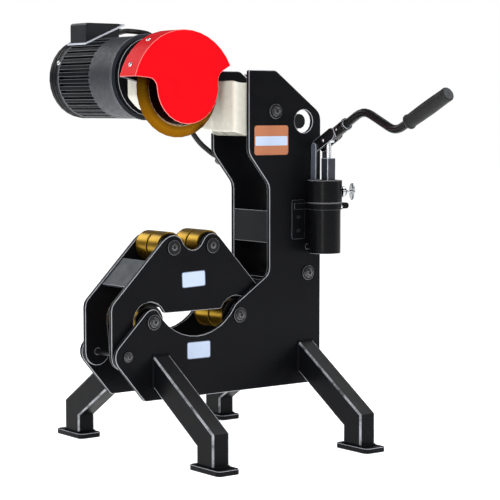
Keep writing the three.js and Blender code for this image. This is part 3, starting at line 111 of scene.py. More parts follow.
class Finish:
    """One node material, put together a few nodes at a time."""

    def __init__(self, name, colour, roughness, metallic=0.0, specular=0.5, coat=0.0, coat_roughness=0.05):
        self.material = bpy.data.materials.new(name)
        self.material.use_nodes = True
        self.tree = self.material.node_tree
        self.shader = self.tree.nodes["Principled BSDF"]
        self.colour = colour
        self.set("Base Color", (*colour, 1.0))
        self.set("Roughness", roughness)
        self.set("Metallic", metallic)
        self.set("Specular IOR Level", specular)
        self.set("Coat Weight", coat)
        self.set("Coat Roughness", coat_roughness)
        self.place = self.node("ShaderNodeTexCoord").outputs["Object"]
        self.normal = None

    def set(self, socket, value):
        self.shader.inputs[socket].default_value = value

    def node(self, kind, **settings):
        made = self.tree.nodes.new(kind)
        for key, value in settings.items():
            setattr(made, key, value)
        return made

    def link(self, out, into):
        self.tree.links.new(out, into)
        return out

    def stretched(self, scale):
        """The surface's own coordinates, scaled differently along each axis."""
        mapping = self.node("ShaderNodeMapping")
        mapping.inputs["Scale"].default_value = scale
        self.link(self.place, mapping.inputs["Vector"])
        return mapping.outputs["Vector"]

    def noise(self, scale, detail=3.0, roughness=0.5, where=None):
        made = self.node("ShaderNodeTexNoise")
        made.inputs["Scale"].default_value = scale
        made.inputs["Detail"].default_value = detail
        made.inputs["Roughness"].default_value = roughness
        self.link(where or self.place, made.inputs["Vector"])
        return made.outputs["Fac"]

    def ramp(self, factor, stops):
        made = self.node("ShaderNodeValToRGB")
        band = made.color_ramp
        while len(band.elements) < len(stops):
            band.elements.new(0.5)
        for element, (position, colour) in zip(band.elements, stops):
            element.position = position
            element.color = (*colour, 1.0)
        self.link(factor, made.inputs["Fac"])
        return made.outputs["Color"]

    def spread(self, factor, low, high, start=0.3, end=0.7):
        """Maps a factor to a range of plain numbers."""
        made = self.node("ShaderNodeMapRange")
        made.inputs["From Min"].default_value = start
        made.inputs["From Max"].default_value = end
        made.inputs["To Min"].default_value = low
        made.inputs["To Max"].default_value = high
        self.link(factor, made.inputs["Value"])
        return made.outputs["Result"]

    def shade(self, factor, amount):
        """Varies the base colour a little either way of its own tone."""
        dark = tuple(c * (1.0 - amount) for c in self.colour)
        light = tuple(min(1.0, c * (1.0 + amount)) for c in self.colour)
        self.link(self.ramp(factor, [(0.3, dark), (0.7, light)]), self.shader.inputs["Base Color"])

    def rough(self, factor, low, high):
        self.link(self.spread(factor, low, high), self.shader.inputs["Roughness"])

    def bump(self, height, distance, strength=1.0):
        made = self.node("ShaderNodeBump")
        made.inputs["Strength"].default_value = strength
        made.inputs["Distance"].default_value = distance
        self.link(height, made.inputs["Height"])
        if self.normal is not None:
            self.link(self.normal, made.inputs["Normal"])
        self.normal = made.outputs["Normal"]
        self.link(self.normal, self.shader.inputs["Normal"])

    def mixed(self, factor, first, second, blend="MIX"):
        """One colour output over another, by a factor output or number."""
        made = self.node("ShaderNodeMix", data_type="RGBA", blend_type=blend)
        if isinstance(factor, float):
            made.inputs["Factor"].default_value = factor
        else:
            self.link(factor, made.inputs["Factor"])
        for socket, value in ((made.inputs[MIX_FIRST], first), (made.inputs[MIX_SECOND], second)):
            if isinstance(value, tuple):
                socket.default_value = (*value, 1.0)
            else:
                self.link(value, socket)
        return made.outputs[MIX_RESULT]

    def coordinate(self, axis):
        split = self.node("ShaderNodeSeparateXYZ")
        self.link(self.place, split.inputs["Vector"])
        return split.outputs[axis]

    def worked_out(self, operation, first, second=0.0):
        """An output after one step of arithmetic with a number."""
        made = self.node("ShaderNodeMath", operation=operation)
        self.link(first, made.inputs[0])
        made.inputs[1].default_value = second
        return made.outputs["Value"]

    def from_middle(self):
        """Distance from the middle plane between the side plates."""
        shifted = self.worked_out("SUBTRACT", self.coordinate("Y"), ORIGIN.y)
        return self.worked_out("ABSOLUTE", shifted)

    def radius_from(self, x, z):
        """Distance from an axis along Y through a point of the layout."""
        centre = at(x, 0.0, z)
        shifted = self.node("ShaderNodeVectorMath", operation="SUBTRACT")
        self.link(self.place, shifted.inputs[0])
        shifted.inputs[1].default_value = (centre.x, 0.0, centre.z)
        flat = self.node("ShaderNodeVectorMath", operation="MULTIPLY")
        self.link(shifted.outputs["Vector"], flat.inputs[0])
        flat.inputs[1].default_value = (1.0, 0.0, 1.0)
        length = self.node("ShaderNodeVectorMath", operation="LENGTH")
        self.link(flat.outputs["Vector"], length.inputs[0])
        return length.outputs["Value"]


BLACK = (0.0042, 0.0044, 0.0054)


def powder_coat(name, colour, roughness=0.32, specular=0.07, grain=900.0):
    """Baked powder paint: fine orange peel and slightly uneven gloss."""
    finish = Finish(name, colour, roughness, specular=specular)
    finish.shade(finish.noise(9.0, 4.0), 0.18)
    finish.rough(finish.noise(38.0, 5.0, 0.6), roughness - 0.05, roughness + 0.07)
    finish.bump(finish.noise(grain, 2.0, 0.4), 0.00012, 0.35)
    return finish.material


def streaked_highlight(name):
    """Painted highlight: black paint made bright in streaky patches along an edge, for the light that the
    edge catches.
    """
    finish = Finish(name, BLACK, 0.3, specular=0.4)
    patches = finish.noise(22.0, 5.0, 0.7)
    bands = finish.ramp(patches, [(0.36, (0.05, 0.052, 0.058)), (0.55, (0.36, 0.37, 0.40))])
    finish.link(bands, finish.shader.inputs["Base Color"])
    finish.rough(finish.noise(60.0), 0.22, 0.4)
    return finish.material


def gloss_paint(name, colour, roughness=0.22, cast=0.0, coat=0.5, specular=0.4):
    """Wet paint under a clear layer, over sheet metal or over a casting."""
    finish = Finish(name, colour, roughness, specular=specular, coat=coat, coat_roughness=0.08)
    finish.shade(finish.noise(7.0, 3.0), 0.035)
    finish.rough(finish.noise(60.0, 4.0, 0.6), roughness - 0.04, roughness + 0.08)
    if cast:
        finish.bump(finish.noise(42.0, 4.0, 0.5), cast, 0.6)
    finish.bump(finish.noise(700.0, 2.0), 0.0001, 0.25)
    return finish.material


def cast_paint(name, colour, roughness=0.5):
    """Satin paint over a sand-cast or die-cast surface."""
    finish = Finish(name, colour, roughness, specular=0.45)
    finish.shade(finish.noise(16.0, 5.0, 0.6), 0.14)
    finish.rough(finish.noise(90.0, 4.0), roughness - 0.08, roughness + 0.1)
    finish.bump(finish.noise(420.0, 4.0, 0.6), 0.0004, 0.35)
    return finish.material


def plain_metal(name, colour, roughness, wear=0.12):
    """Bare or plated steel with faint handling marks."""
    finish = Finish(name, colour, roughness, metallic=1.0)
    finish.shade(finish.noise(30.0, 5.0, 0.6), wear)
    finish.rough(finish.noise(140.0, 4.0), roughness - 0.06, roughness + 0.12)
    finish.bump(finish.noise(520.0, 3.0), 0.00008, 0.25)
    return finish.material


ROLLER_REACH = 60.0
# Half width of the groove's painted shade, and the blends at its edge and at the barrel's ends, in
# millimetres
GROOVE_SHADE_HALF, GROOVE_SHADE_BLEND, ROLLER_END_BLEND = 3.0, 0.24, 0.12
ROLLER_STEEL_AND_GROOVE_SHADE, ROLLER_GOLD = (0.022, 0.021, 0.022), (0.47, 0.285, 0.022)


def roller_metal(name, end):
    """Gold-plated barrel with painted shade in the groove in its middle, and dark steel from an end distance
    outwards.
    """
    finish = Finish(name, ROLLER_GOLD, 0.3, metallic=1.0)
    away = finish.spread(finish.from_middle(), 0.0, 1.0, 0.0, ROLLER_REACH * MM)
    bands = finish.ramp(away, [(distance / ROLLER_REACH, colour) for distance, colour in (
        # Painted shade in the middle groove, then gold, then the dark steel of the ends
        (0.0, ROLLER_STEEL_AND_GROOVE_SHADE),
        (GROOVE_SHADE_HALF - GROOVE_SHADE_BLEND, ROLLER_STEEL_AND_GROOVE_SHADE), (GROOVE_SHADE_HALF + GROOVE_SHADE_BLEND, ROLLER_GOLD),
        (end - ROLLER_END_BLEND, ROLLER_GOLD), (end + ROLLER_END_BLEND, ROLLER_STEEL_AND_GROOVE_SHADE),
    )])
    drift = finish.ramp(finish.noise(24.0, 4.0, 0.6), [(0.3, (0.82, 0.76, 0.7)), (0.7, (1.0, 1.0, 1.0))])
    finish.link(finish.mixed(1.0, bands, drift, "MULTIPLY"), finish.shader.inputs["Base Color"])
    rings = finish.noise(1.0, 2.0, 0.6, finish.stretched((4.0, 2600.0, 4.0)))
    finish.rough(rings, 0.26, 0.4)
    finish.bump(rings, 0.00005, 0.12)
    return finish.material


def moulded(name, colour, roughness, grain=650.0, depth=0.0002):
    """Moulded plastic or rubber with a fine grain."""
    finish = Finish(name, colour, roughness, specular=0.4)
    finish.shade(finish.noise(12.0, 3.0), 0.12)
    finish.rough(finish.noise(50.0, 4.0), roughness - 0.06, roughness + 0.08)
    finish.bump(finish.noise(grain, 3.0, 0.6), depth, 0.4)
    return finish.material


WHEEL_REACH = 120.0
WHEEL_RECESS_SHADE, WHEEL_LIP_HIGHLIGHT = (0.03, 0.022, 0.018), (0.50, 0.42, 0.30)
# Colours of the wheel's face by their distance from its axis, in millimetres: painted shade in the recess, a
# painted highlight on the lip, then the bevel
WHEEL_BANDS = [
    (0.0, WHEEL_RECESS_SHADE), (79.2, WHEEL_RECESS_SHADE), (80.16, WHEEL_LIP_HIGHLIGHT), (83.04, WHEEL_LIP_HIGHLIGHT),
    (84.24, (0.118, 0.050, 0.002)), (94.8, (0.215, 0.088, 0.0028)), (108.6, (0.178, 0.070, 0.0022)),
]
# Painted shade: the wheel's colour darkens and cools towards its top between these heights in metres
WHEEL_SHADE_LOW, WHEEL_SHADE_HIGH, WHEEL_SHADE_TONE = 0.73, 0.82, (0.5, 0.62, 0.9)
GRINDING_RINGS = 900.0


def wheel_metal():
    """The cutter wheel: bronze-toned bevel, a painted highlight on its lip, painted shade in the recess
    inside it, and painted shade that darkens and cools it towards its top.
    """
    finish = Finish("wheel_bronze", WHEEL_BANDS[-1][1], 0.3, metallic=1.0)
    radius = finish.radius_from(WHEEL_X, WHEEL_Z)
    share = finish.spread(radius, 0.0, 1.0, 0.0, WHEEL_REACH * MM)
    bands = finish.ramp(share, [(distance / WHEEL_REACH, colour) for distance, colour in WHEEL_BANDS])
    rise = finish.spread(finish.coordinate("Z"), 0.0, 1.0, WHEEL_SHADE_LOW, WHEEL_SHADE_HIGH)
    # Painted shade: darker and cooler towards the wheel's top
    shaded = finish.mixed(rise, bands, finish.mixed(1.0, bands, WHEEL_SHADE_TONE, "MULTIPLY"))
    finish.link(shaded, finish.shader.inputs["Base Color"])
    rings = finish.node("ShaderNodeTexWave", wave_type="BANDS", bands_direction="X")
    rings.inputs["Scale"].default_value = 1.0
    spun = finish.node("ShaderNodeCombineXYZ")
    finish.link(finish.worked_out("MULTIPLY", radius, GRINDING_RINGS), spun.inputs["X"])
    finish.link(spun.outputs["Vector"], rings.inputs["Vector"])
    finish.rough(finish.noise(80.0, 4.0), 0.24, 0.38)
    finish.bump(rings.outputs["Fac"], 0.00006, 0.2)
    return finish.material


MATERIALS = {
    "frame_black": powder_coat("frame_black", BLACK),
    "brace_grey": powder_coat("brace_grey", (0.009, 0.0115, 0.0125), 0.42, 0.12),
    "cross_grey": powder_coat("cross_grey", (0.032, 0.041, 0.052), 0.42, 0.25),
    "guard_red": gloss_paint("guard_red", (0.74, 0.0006, 0.006), 0.38, coat=0.02, specular=0.08),
    "arm_cream": gloss_paint("arm_cream", (0.66, 0.645, 0.56), 0.26, cast=0.0006),
    "motor_grey": cast_paint("motor_grey", (0.019, 0.023, 0.031)),
    "fin_grey": powder_coat("fin_grey", (0.0036, 0.0042, 0.0052), 0.42, 0.04),
    "fan_cover_grey": powder_coat("fan_cover_grey", (0.0055, 0.006, 0.0075), 0.42, 0.14),
    "roller_gold": roller_metal("roller_gold", 41.8),
    "roller_gold_wide": roller_metal("roller_gold_wide", 52.0),
    "wheel_bronze": wheel_metal(),
    "bright_steel": plain_metal("bright_steel", (0.66, 0.67, 0.69), 0.24),
    "black_steel": powder_coat("black_steel", (0.0062, 0.0066, 0.0075), 0.3, 0.22),
    "black_plastic": moulded("black_plastic", (0.007, 0.0078, 0.0105), 0.36),
    "grip_rubber": moulded("grip_rubber", (0.0062, 0.0066, 0.0075), 0.62, 420.0, 0.0005),
    "grip_cap": moulded("grip_cap", (0.045, 0.047, 0.052), 0.5),
    "barrel_blue": powder_coat("barrel_blue", (0.022, 0.026, 0.036), 0.3, 0.5),
    "link_blue": powder_coat("link_blue", (0.075, 0.085, 0.11), 0.3, 0.5),
    "cable_rubber": moulded("cable_rubber", (0.0055, 0.0055, 0.006), 0.45),
    "tube_black": gloss_paint("tube_black", (0.0042, 0.0044, 0.005), 0.3, coat=0.02, specular=0.25),
    # Painted highlight for the pump strap's edges
    "edge_highlight_dim": powder_coat("edge_highlight_dim", (0.12, 0.125, 0.135), 0.3, 0.4),
    "zinc": plain_metal("zinc", (0.72, 0.73, 0.74), 0.2),
    "chrome": plain_metal("chrome", (0.50, 0.51, 0.53), 0.16, wear=0.04),
    "screw_steel": plain_metal("screw_steel", (0.105, 0.105, 0.11), 0.28),
    "tank_black": gloss_paint("tank_black", (0.0036, 0.0038, 0.0044), 0.24, coat=0.0, specular=0.1),
    "socket_shade_dark": moulded("socket_shade_dark", (0.004, 0.004, 0.005), 0.6),
    "plate_white": moulded("plate_white", (0.50, 0.59, 0.76), 0.35),
    "plate_border": moulded("plate_border", (0.10, 0.13, 0.19), 0.35),
    "plate_orange": moulded("plate_orange", (0.44, 0.158, 0.072), 0.35),
    "lip_highlight_grey": moulded("lip_highlight_grey", (0.60, 0.63, 0.70), 0.45),
    # Painted highlights: lighter materials for bevelled edges, standing in for the light that the edges
    # catch
    "edge_highlight_black": powder_coat("edge_highlight_black", (0.34, 0.35, 0.38), 0.3, 0.5),
    "edge_highlight_red": gloss_paint("edge_highlight_red", (0.95, 0.24, 0.22), 0.3, coat=0.2),
    "edge_highlight_steel": plain_metal("edge_highlight_steel", (0.24, 0.24, 0.25), 0.3),
    "edge_highlight_grey": cast_paint("edge_highlight_grey", (0.17, 0.18, 0.20), 0.35),
    "edge_highlight_link": powder_coat("edge_highlight_link", (0.50, 0.53, 0.58), 0.3, 0.5),
    "edge_highlight_streaks": streaked_highlight("edge_highlight_streaks"),
}

# Painted highlights: each finish's bevelled edges take a lighter material that stands in for the light that
# the edges catch
EDGES = {
    "frame_black": "edge_highlight_black", "brace_grey": "edge_highlight_black", "cross_grey": "edge_highlight_black",
    "motor_grey": "edge_highlight_grey", "fan_cover_grey": "edge_highlight_grey", "fin_grey": "edge_highlight_grey",
    "barrel_blue": "edge_highlight_link", "link_blue": "edge_highlight_link", "tube_black": "edge_highlight_link",
    "guard_red": "edge_highlight_red", "black_steel": "edge_highlight_steel",
}


# Edges of the CAD pieces

SHARP_ANGLE, BEVEL_ANGLE, FLAT_ANGLE = 40.0, 38.0, 0.6
WELD_DISTANCE = 0.02
# From this width in millimetres on, an edge is cast and round
CAST_EDGE = 2.0


def shade_by_angle():
    """Geometry nodes that keep an edge sharp only where it turns by more than the sharp angle."""
    tree = bpy.data.node_groups.new("shade_by_angle", "GeometryNodeTree")
    tree.interface.new_socket("Geometry", in_out="INPUT", socket_type="NodeSocketGeometry")
    tree.interface.new_socket("Geometry", in_out="OUTPUT", socket_type="NodeSocketGeometry")
    source = tree.nodes.new("NodeGroupInput")
    target = tree.nodes.new("NodeGroupOutput")
    faces = tree.nodes.new("GeometryNodeSetShadeSmooth")
    edges = tree.nodes.new("GeometryNodeSetShadeSmooth")
    edges.domain = "EDGE"
    edges.inputs["Shade Smooth"].default_value = False
    angle = tree.nodes.new("GeometryNodeInputMeshEdgeAngle")
    sharp = tree.nodes.new("FunctionNodeCompare")
    sharp.operation = "GREATER_THAN"
    sharp.inputs["B"].default_value = math.radians(SHARP_ANGLE)
    tree.links.new(source.outputs["Geometry"], faces.inputs["Geometry"])
    tree.links.new(faces.outputs["Geometry"], edges.inputs["Geometry"])
    tree.links.new(angle.outputs["Unsigned Angle"], sharp.inputs["A"])
    tree.links.new(sharp.outputs["Result"], edges.inputs["Selection"])
    tree.links.new(edges.outputs["Geometry"], target.inputs["Geometry"])
    return tree


SHADING = shade_by_angle()


def add_shading(piece):
    piece.modifiers.new("shading", "NODES").node_group = SHADING
    weighted = piece.modifiers.new("weighted", "WEIGHTED_NORMAL")
    weighted.keep_sharp = True
    weighted.weight = 100


def add_bevel(piece, width, segments=2, material=-1, miter="MITER_ARC"):
    bevel = piece.modifiers.new("edges", "BEVEL")
    bevel.material = material
    bevel.width = width * MM
    bevel.segments = segments
    bevel.limit_method = "ANGLE"
    bevel.angle_limit = math.radians(BEVEL_ANGLE)
    bevel.use_clamp_overlap = False
    bevel.miter_outer = miter


def dress(node, material, width=0.0, segments=2):
    """Gives a CAD node its finish and softened edges."""
    piece = NODES[node]
    mesh = piece.data
    mesh.materials.clear()
    mesh.materials.append(MATERIALS[material])
    for name in ("custom_normal", "sharp_edge", "sharp_face"):
        if name in mesh.attributes:
            mesh.attributes.remove(mesh.attributes[name])
    weld = piece.modifiers.new("weld", "WELD")
    weld.merge_threshold = WELD_DISTANCE * MM
    if width:
        flat = piece.modifiers.new("flat", "DECIMATE")
        flat.decimate_type = "DISSOLVE"
        flat.angle_limit = math.radians(FLAT_ANGLE)
        # The bevel's faces take the finish's painted highlight, where it has one
        edge = EDGES.get(material)
        if edge:
            mesh.materials.append(MATERIALS[edge])
        add_bevel(piece, width, segments, material=1 if edge else -1)
    add_shading(piece)


# Finish, width of the bevelled edge in millimetres, which carries the finish's painted highlight, and the
# nodes that have them
CAD_FINISHES = [
    ("frame_black", 1.3, ("side_plate_near", "side_plate_far", "cradle_plate_near", "cradle_plate_far")),
    ("brace_grey", 0.8, ("column_brace",)),
    ("cross_grey", 0.8, ("cradle_cross_plate",)),
    ("frame_black", 0.8, ("base_brace", "guard_bracket", "motor_adapter", "pump_tank", "pump_head",
                          "pump_clamp", "hydraulic_cylinder")),
    ("tube_black", 0.6, ("handle_socket",)),
    ("frame_black", 1.2, ("foot_near_front", "foot_near_rear", "foot_far_front", "foot_far_rear")),
    ("tube_black", 0.0, ("handle_tube",)),
    ("black_steel", 0.8, ("cradle_hinge_shaft", "arm_pivot_shaft", "cylinder_pin", "roller_shaft_front",
                          "roller_shaft_rear", "cradle_shaft_front", "cradle_shaft_rear", "tail_pin",
                          "cradle_rest_bar", "wheel_flange")),
    ("barrel_blue", 0.9, ("pump_barrel",)),
    ("link_blue", 0.6, ("fulcrum_link",)),
    ("guard_red", 0.9, ("wheel_guard",)),
    ("arm_cream", 3.0, ("arm_casting",)),
    ("motor_grey", 0.8, ("motor_end_shield",)),
    ("fin_grey", 0.7, ("motor_stator",)),
    ("fan_cover_grey", 0.8, ("fan_cover",)),
    ("roller_gold", 0.5, ("roller_upper_front", "roller_upper_rear")),
    ("roller_gold_wide", 0.5, ("roller_lower_front", "roller_lower_rear")),
    ("wheel_bronze", 0.4, ("cutter_wheel",)),
    ("bright_steel", 0.6, ("spindle", "spindle_nut", "motor_shaft", "ram", "pump_plunger")),
    ("frame_black", 0.0, ("pressure_pipe",)),
    ("chrome", 0.8, ("release_knob", "release_valve")),
    ("black_plastic", 0.7, ("terminal_box", "terminal_lid", "cooling_fan", "motor_gland", "frame_gland")),
    ("grip_rubber", 0.0, ("handle_grip",)),
]


def dress_nodes():
    for material, width, names in CAD_FINISHES:
        for name in names:
            dress(name, material, width, 3 if width >= CAST_EDGE else 2)


dress_nodes()


# Making pieces

def piece_from(name, build, material, body, bevel=0.0, smooth=True):
    """Makes an object from a bmesh in metres and lets it ride on a CAD body."""
    mesh = bpy.data.meshes.new(name)
    bmesh.ops.recalc_face_normals(build, faces=build.faces)
    build.to_mesh(mesh)
    build.free()
    mesh.materials.append(MATERIALS[material])
    piece = bpy.data.objects.new(name, mesh)
    bpy.context.scene.collection.objects.link(piece)
    if bevel:
        add_bevel(piece, bevel)
    if smooth:
        add_shading(piece)
    if body:
        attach(piece, body)
    return piece


def skin(build, low, high):
    """Four-sided faces between two loops with as many vertices."""
    count = len(low)
    for i in range(count):
        j = (i + 1) % count
        build.faces.new((low[i], low[j], high[j], high[i]))


def between(first, second):
    """A closed solid between two loops with as many points."""
    build = bmesh.new()
    loops = [[build.verts.new(point) for point in loop] for loop in (first, second)]
    skin(build, *loops)
    build.faces.new(loops[0])
    build.faces.new(reversed(loops[1]))
    return build


def facing(axis):
    """Turns +Z to an axis."""
    return Vector((0, 0, 1)).rotation_difference(Vector(axis).normalized())


SEGMENTS = 48
TO_NEAR, TO_FAR, UPWARDS = (0, -1, 0), (0, 1, 0), (0, 0, 1)


def ring_radius(shape, size, angle):
    """Radius of a round, a hexagon across its flats, or a hexagon with its corners turned off."""
    if shape == "round":
        return size
    flats, corner = size if isinstance(size, tuple) else (size, None)
    turn = (angle % (math.pi / 3)) - math.pi / 6
    reach = flats / 2 / math.cos(turn)
    return min(reach, corner) if corner else reach


def stacked(rings, origin, axis):
    """A closed solid from rings (shape, size, height) in millimetres, stacked along an axis."""
    build = bmesh.new()
    turn = facing(axis)
    loops = []
    for shape, size, height in rings:
        loop = []
        for i in range(SEGMENTS):
            angle = 2 * math.pi * i / SEGMENTS
            radius = ring_radius(shape, size, angle)
            local = Vector((radius * math.cos(angle), radius * math.sin(angle), height))
            loop.append(build.verts.new(origin + turn @ (local * MM)))
        loops.append(loop)
    for low, high in zip(loops, loops[1:]):
        skin(build, low, high)
    build.faces.new(reversed(loops[0]))
    build.faces.new(loops[-1])
    return build


def turned(profile, origin, axis):
    """A closed round solid from pairs of radius and height in millimetres."""
    return stacked([("round", radius, height) for radius, height in profile], origin, axis)


# Shares of a screw head's radius and height, from its seat to its top
SCREW_PROFILE = [(1.0, 0.0), (1.0, 0.35), (0.93, 0.75), (0.78, 1.0)]
SOCKET_CHAMFER, SOCKET_SLIP = 0.6, 0.1
# Shares of the head's height: the socket's floor, and the dark sheet of painted shade just above it
SOCKET_FLOOR, SHADE_SHEET_LOW, SHADE_SHEET_HIGH = 0.15, 0.16, 0.2


def socket_screw(name, origin, axis, body, radius, height, key, material="screw_steel"):
    """A domed screw head with a hexagon socket, and a dark sheet in the socket as painted shade."""
    rings = [("round", radius * across, height * up) for across, up in SCREW_PROFILE]
    rings += [
        ("hex", key + 2 * SOCKET_CHAMFER, height), ("hex", key, height - SOCKET_CHAMFER),
        ("hex", key, height * SOCKET_FLOOR),
    ]
    piece_from(name, stacked(rings, origin, axis), material, body)
    # Painted shade: a thin dark sheet just above the socket's floor
    floor = [("hex", key - SOCKET_SLIP, height * SHADE_SHEET_LOW), ("hex", key - SOCKET_SLIP, height * SHADE_SHEET_HIGH)]
    piece_from(name + "_floor", stacked(floor, origin, axis), "socket_shade_dark", body)


NUT_CORNER = 1.1
# Shares of a nut's corner and height, and of its bolt's radius and the nut's height
NUT_PROFILE = [(1.0, 0.0), (1.05, 0.12), (1.05, 0.84), (1.0, 1.0)]
BOLT_PROFILE = [(1.15, 1.0), (1.0, 0.9), (1.0, 1.18), (0.8, 1.3)]


def hex_nut(name, origin, axis, body, flats, height, bolt, material):
    """A hexagon nut or bolt head with turned-off corners and the end of its bolt."""
    corner = flats / 2 * NUT_CORNER
    rings = [("hex", (flats, corner * bulge), height * up) for bulge, up in NUT_PROFILE]
    rings += [("round", bolt * out, height * up) for out, up in BOLT_PROFILE]
    piece_from(name, stacked(rings, origin, axis), material, body)


DOME_STEPS, DOME_TOP = 6, 0.1


def dome(name, origin, axis, body, radius, height):
    """A small round-headed screw or rivet."""
    profile = [(radius, 0.0)]
    for step in range(1, DOME_STEPS):
        angle = math.pi / 2 * step / DOME_STEPS
        profile.append((radius * math.cos(angle), height * math.sin(angle)))
    profile.append((radius * DOME_TOP, height))
    piece_from(name, turned(profile, origin, axis), "zinc", body)


def rounded_outline(width, height, radius, steps=5):
    """Corner-rounded rectangle about its middle, as flat points in millimetres."""
    points = []
    for cx, cz, start in ((1, 1, 0), (-1, 1, 90), (-1, -1, 180), (1, -1, 270)):
        for step in range(steps + 1):
            angle = math.radians(start + 90 * step / steps)
            points.append((
                cx * (width / 2 - radius) + radius * math.cos(angle),
                cz * (height / 2 - radius) + radius * math.sin(angle)))
    return points


def moved(outline, x, z, tilt=0.0):
    """A flat outline turned about its middle and carried to a place."""
    cos, sin = math.cos(tilt), math.sin(tilt)
    return [(x + u * cos - v * sin, z + u * sin + v * cos) for u, v in outline]


def upright(outline, low, high):
    """A closed solid from a flat outline that faces along Y, between two distances."""
    return between(*([at(u, y, v) for u, v in outline] for y in (low, high)))


PLATE_EDGE = 0.3


def flat_plate(name, centre, size, radius, thickness, material, body, tilt=0.0):
    """A thin plate that stands on a face looking along -Y."""
    x, y, z = centre
    outline = moved(rounded_outline(*size, radius), x, z, tilt)
    piece_from(name, upright(outline, y, y - thickness), material, body, bevel=thickness * PLATE_EDGE)


def across(tangent, last):
    """A direction across a tube, near its last one, or near upright where the tube starts."""
    if last is None:
        last = Vector((0, 0, 1)) if abs(tangent.z) < 0.9 else Vector((1, 0, 0))
    return (last - tangent * last.dot(tangent)).normalized()


def swept(path, radius, sides, closed=False):
    """A tube along points in metres. radius is a number or a function of the point's index, in metres."""
    build = bmesh.new()
    count = len(path)
    loops = []
    normal = None
    for i, point in enumerate(path):
        before = path[i - 1] if closed or i else path[0]
        after = path[(i + 1) % count] if closed or i < count - 1 else path[-1]
        tangent = (after - before).normalized()
        normal = across(tangent, normal)
        side = tangent.cross(normal)
        size = radius(i) if callable(radius) else radius
        loops.append([
            build.verts.new(point + (normal * math.cos(a) + side * math.sin(a)) * size)
            for a in (2 * math.pi * k / sides for k in range(sides))
        ])
    for i in range(count if closed else count - 1):
        skin(build, loops[i], loops[(i + 1) % count])
    if not closed:
        build.faces.new(reversed(loops[0]))
        build.faces.new(loops[-1])
    return build


def smoothed(points, steps):
    """Catmull-Rom run through points, with even steps between each pair."""
    padded = [points[0] * 2 - points[1], *points, points[-1] * 2 - points[-2]]
    run = []
    for a, b, c, d in zip(padded, padded[1:], padded[2:], padded[3:]):
        for step in range(steps):
            t = step / steps
            run.append(0.5 * (
                2 * b + (c - a) * t + (2 * a - 5 * b + 4 * c - d) * t * t
                + (3 * b - a - 3 * c + d) * t * t * t))
    run.append(points[-1])
    return run


def along(points, spacing):
    """Points at even spacing along a broken line, its corners included only by chance."""
    result = [points[0].copy()]
    carried = 0.0
    for a, b in zip(points, points[1:]):
        span = (b - a).length
        where = spacing - carried
        while where < span:
            result.append(a.lerp(b, where / span))
            where += spacing
        carried = span - (where - spacing)
    return result


def gathered(builds):
    """Several closed shells in one bmesh."""
    whole = bmesh.new()
    for build in builds:
        spare = bpy.data.meshes.new("shell")
        build.to_mesh(spare)
        build.free()
        whole.from_mesh(spare)
        bpy.data.meshes.remove(spare)
    return whole


def with_edge_highlight(piece, material, width):
    """Adds a bevelled edge with a painted highlight material to a piece made here."""
    piece.data.materials.append(MATERIALS[material])
    add_bevel(piece, width, material=1, miter="MITER_SHARP")
    add_shading(piece)


# Motor cable

CABLE_RADIUS = 6.0
CABLE_SIDES, CABLE_STEPS = 16, 8
GLAND_OVERLAP = 1.0
CABLE_ROUTE = [
    (-138, 293.5, 936), (-124, 284, 935), (-113, 268, 932.5), (-107, 247, 927.5), (-103, 223, 914),
    (-100, 197, 884), (-96, 170, 840), (-93, 144, 787), (-94, 118, 735), (-88, 100, 701), (-74, 90, 677),
    (-54, 86.5, 660), (-36, 87, 649), (-22.7, 89.8, 645.5), (-12.9, 97.8, 642), (-7.7, 109, 638.4),
    (-1.8, 121, 634.5), (9.1, 129, 630.6), (22.5, 130.8, 626.8), (35.3, 126.2, 623), (44.3, 116.1, 619),
    (47.7, 104, 616),
]


def add_cable():
    low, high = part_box("motor_gland")
    start = Vector((high.x - GLAND_OVERLAP * MM, (low.y + high.y) / 2, (low.z + high.z) / 2))
    low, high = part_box("frame_gland")
    end = Vector(((low.x + high.x) / 2, high.y - GLAND_OVERLAP * MM, (low.z + high.z) / 2))
    path = smoothed([start, *(at(*point) for point in CABLE_ROUTE), end], CABLE_STEPS)
    cable = piece_from("cable", swept(path, CABLE_RADIUS * MM, CABLE_SIDES), "cable_rubber", None)
    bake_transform(cable)
    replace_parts(cable, "motor_cable")


add_cable()


# Legs of rectangular tube with rounded corners

LEG_WIDTH, LEG_DEPTH, LEG_REACH = 43.0, 58.0, 290.0
LEG_KNEE, LEG_TOP, FOOT_THICKNESS = 83.0, 224.0, 12.0
LEG_FRONT_X, LEG_REAR_X = -295.4, 106.7
TUBE_CORNER, CORNER_SEGMENTS = 3.6, 4
# The outline's edges that run along the tube, by the point where each starts
TUBE_RUNS = (1, 2, 4, 5)
BEAD_RADIUS, BEAD_SIDES, BEAD_SPACING, BEAD_RISE = 2.6, 8, 1.1, 0.6
# Share of the bead's radius and turn for each step along it
RIPPLES = [(0.13, 1.9), (0.05, 0.37)]


def leg_outline():
    """The bent tube seen from its end, as pairs of distance from the middle plane and height."""
    slope = math.atan2(LEG_TOP - LEG_KNEE, LEG_REACH - PLATE_OUTER)
    inner = LEG_REACH - LEG_DEPTH
    depth = LEG_DEPTH / math.cos(slope)
    start = PLATE_OUTER + SEAT_GAP

    def top(y):
        return LEG_TOP - (y - PLATE_OUTER) * math.tan(slope)

    floor = FOOT_THICKNESS + SEAT_GAP
    return [(inner, floor), (LEG_REACH, floor), (LEG_REACH, top(LEG_REACH)), (start, top(start)),
            (start, top(start) - depth), (inner, top(inner) - depth)]


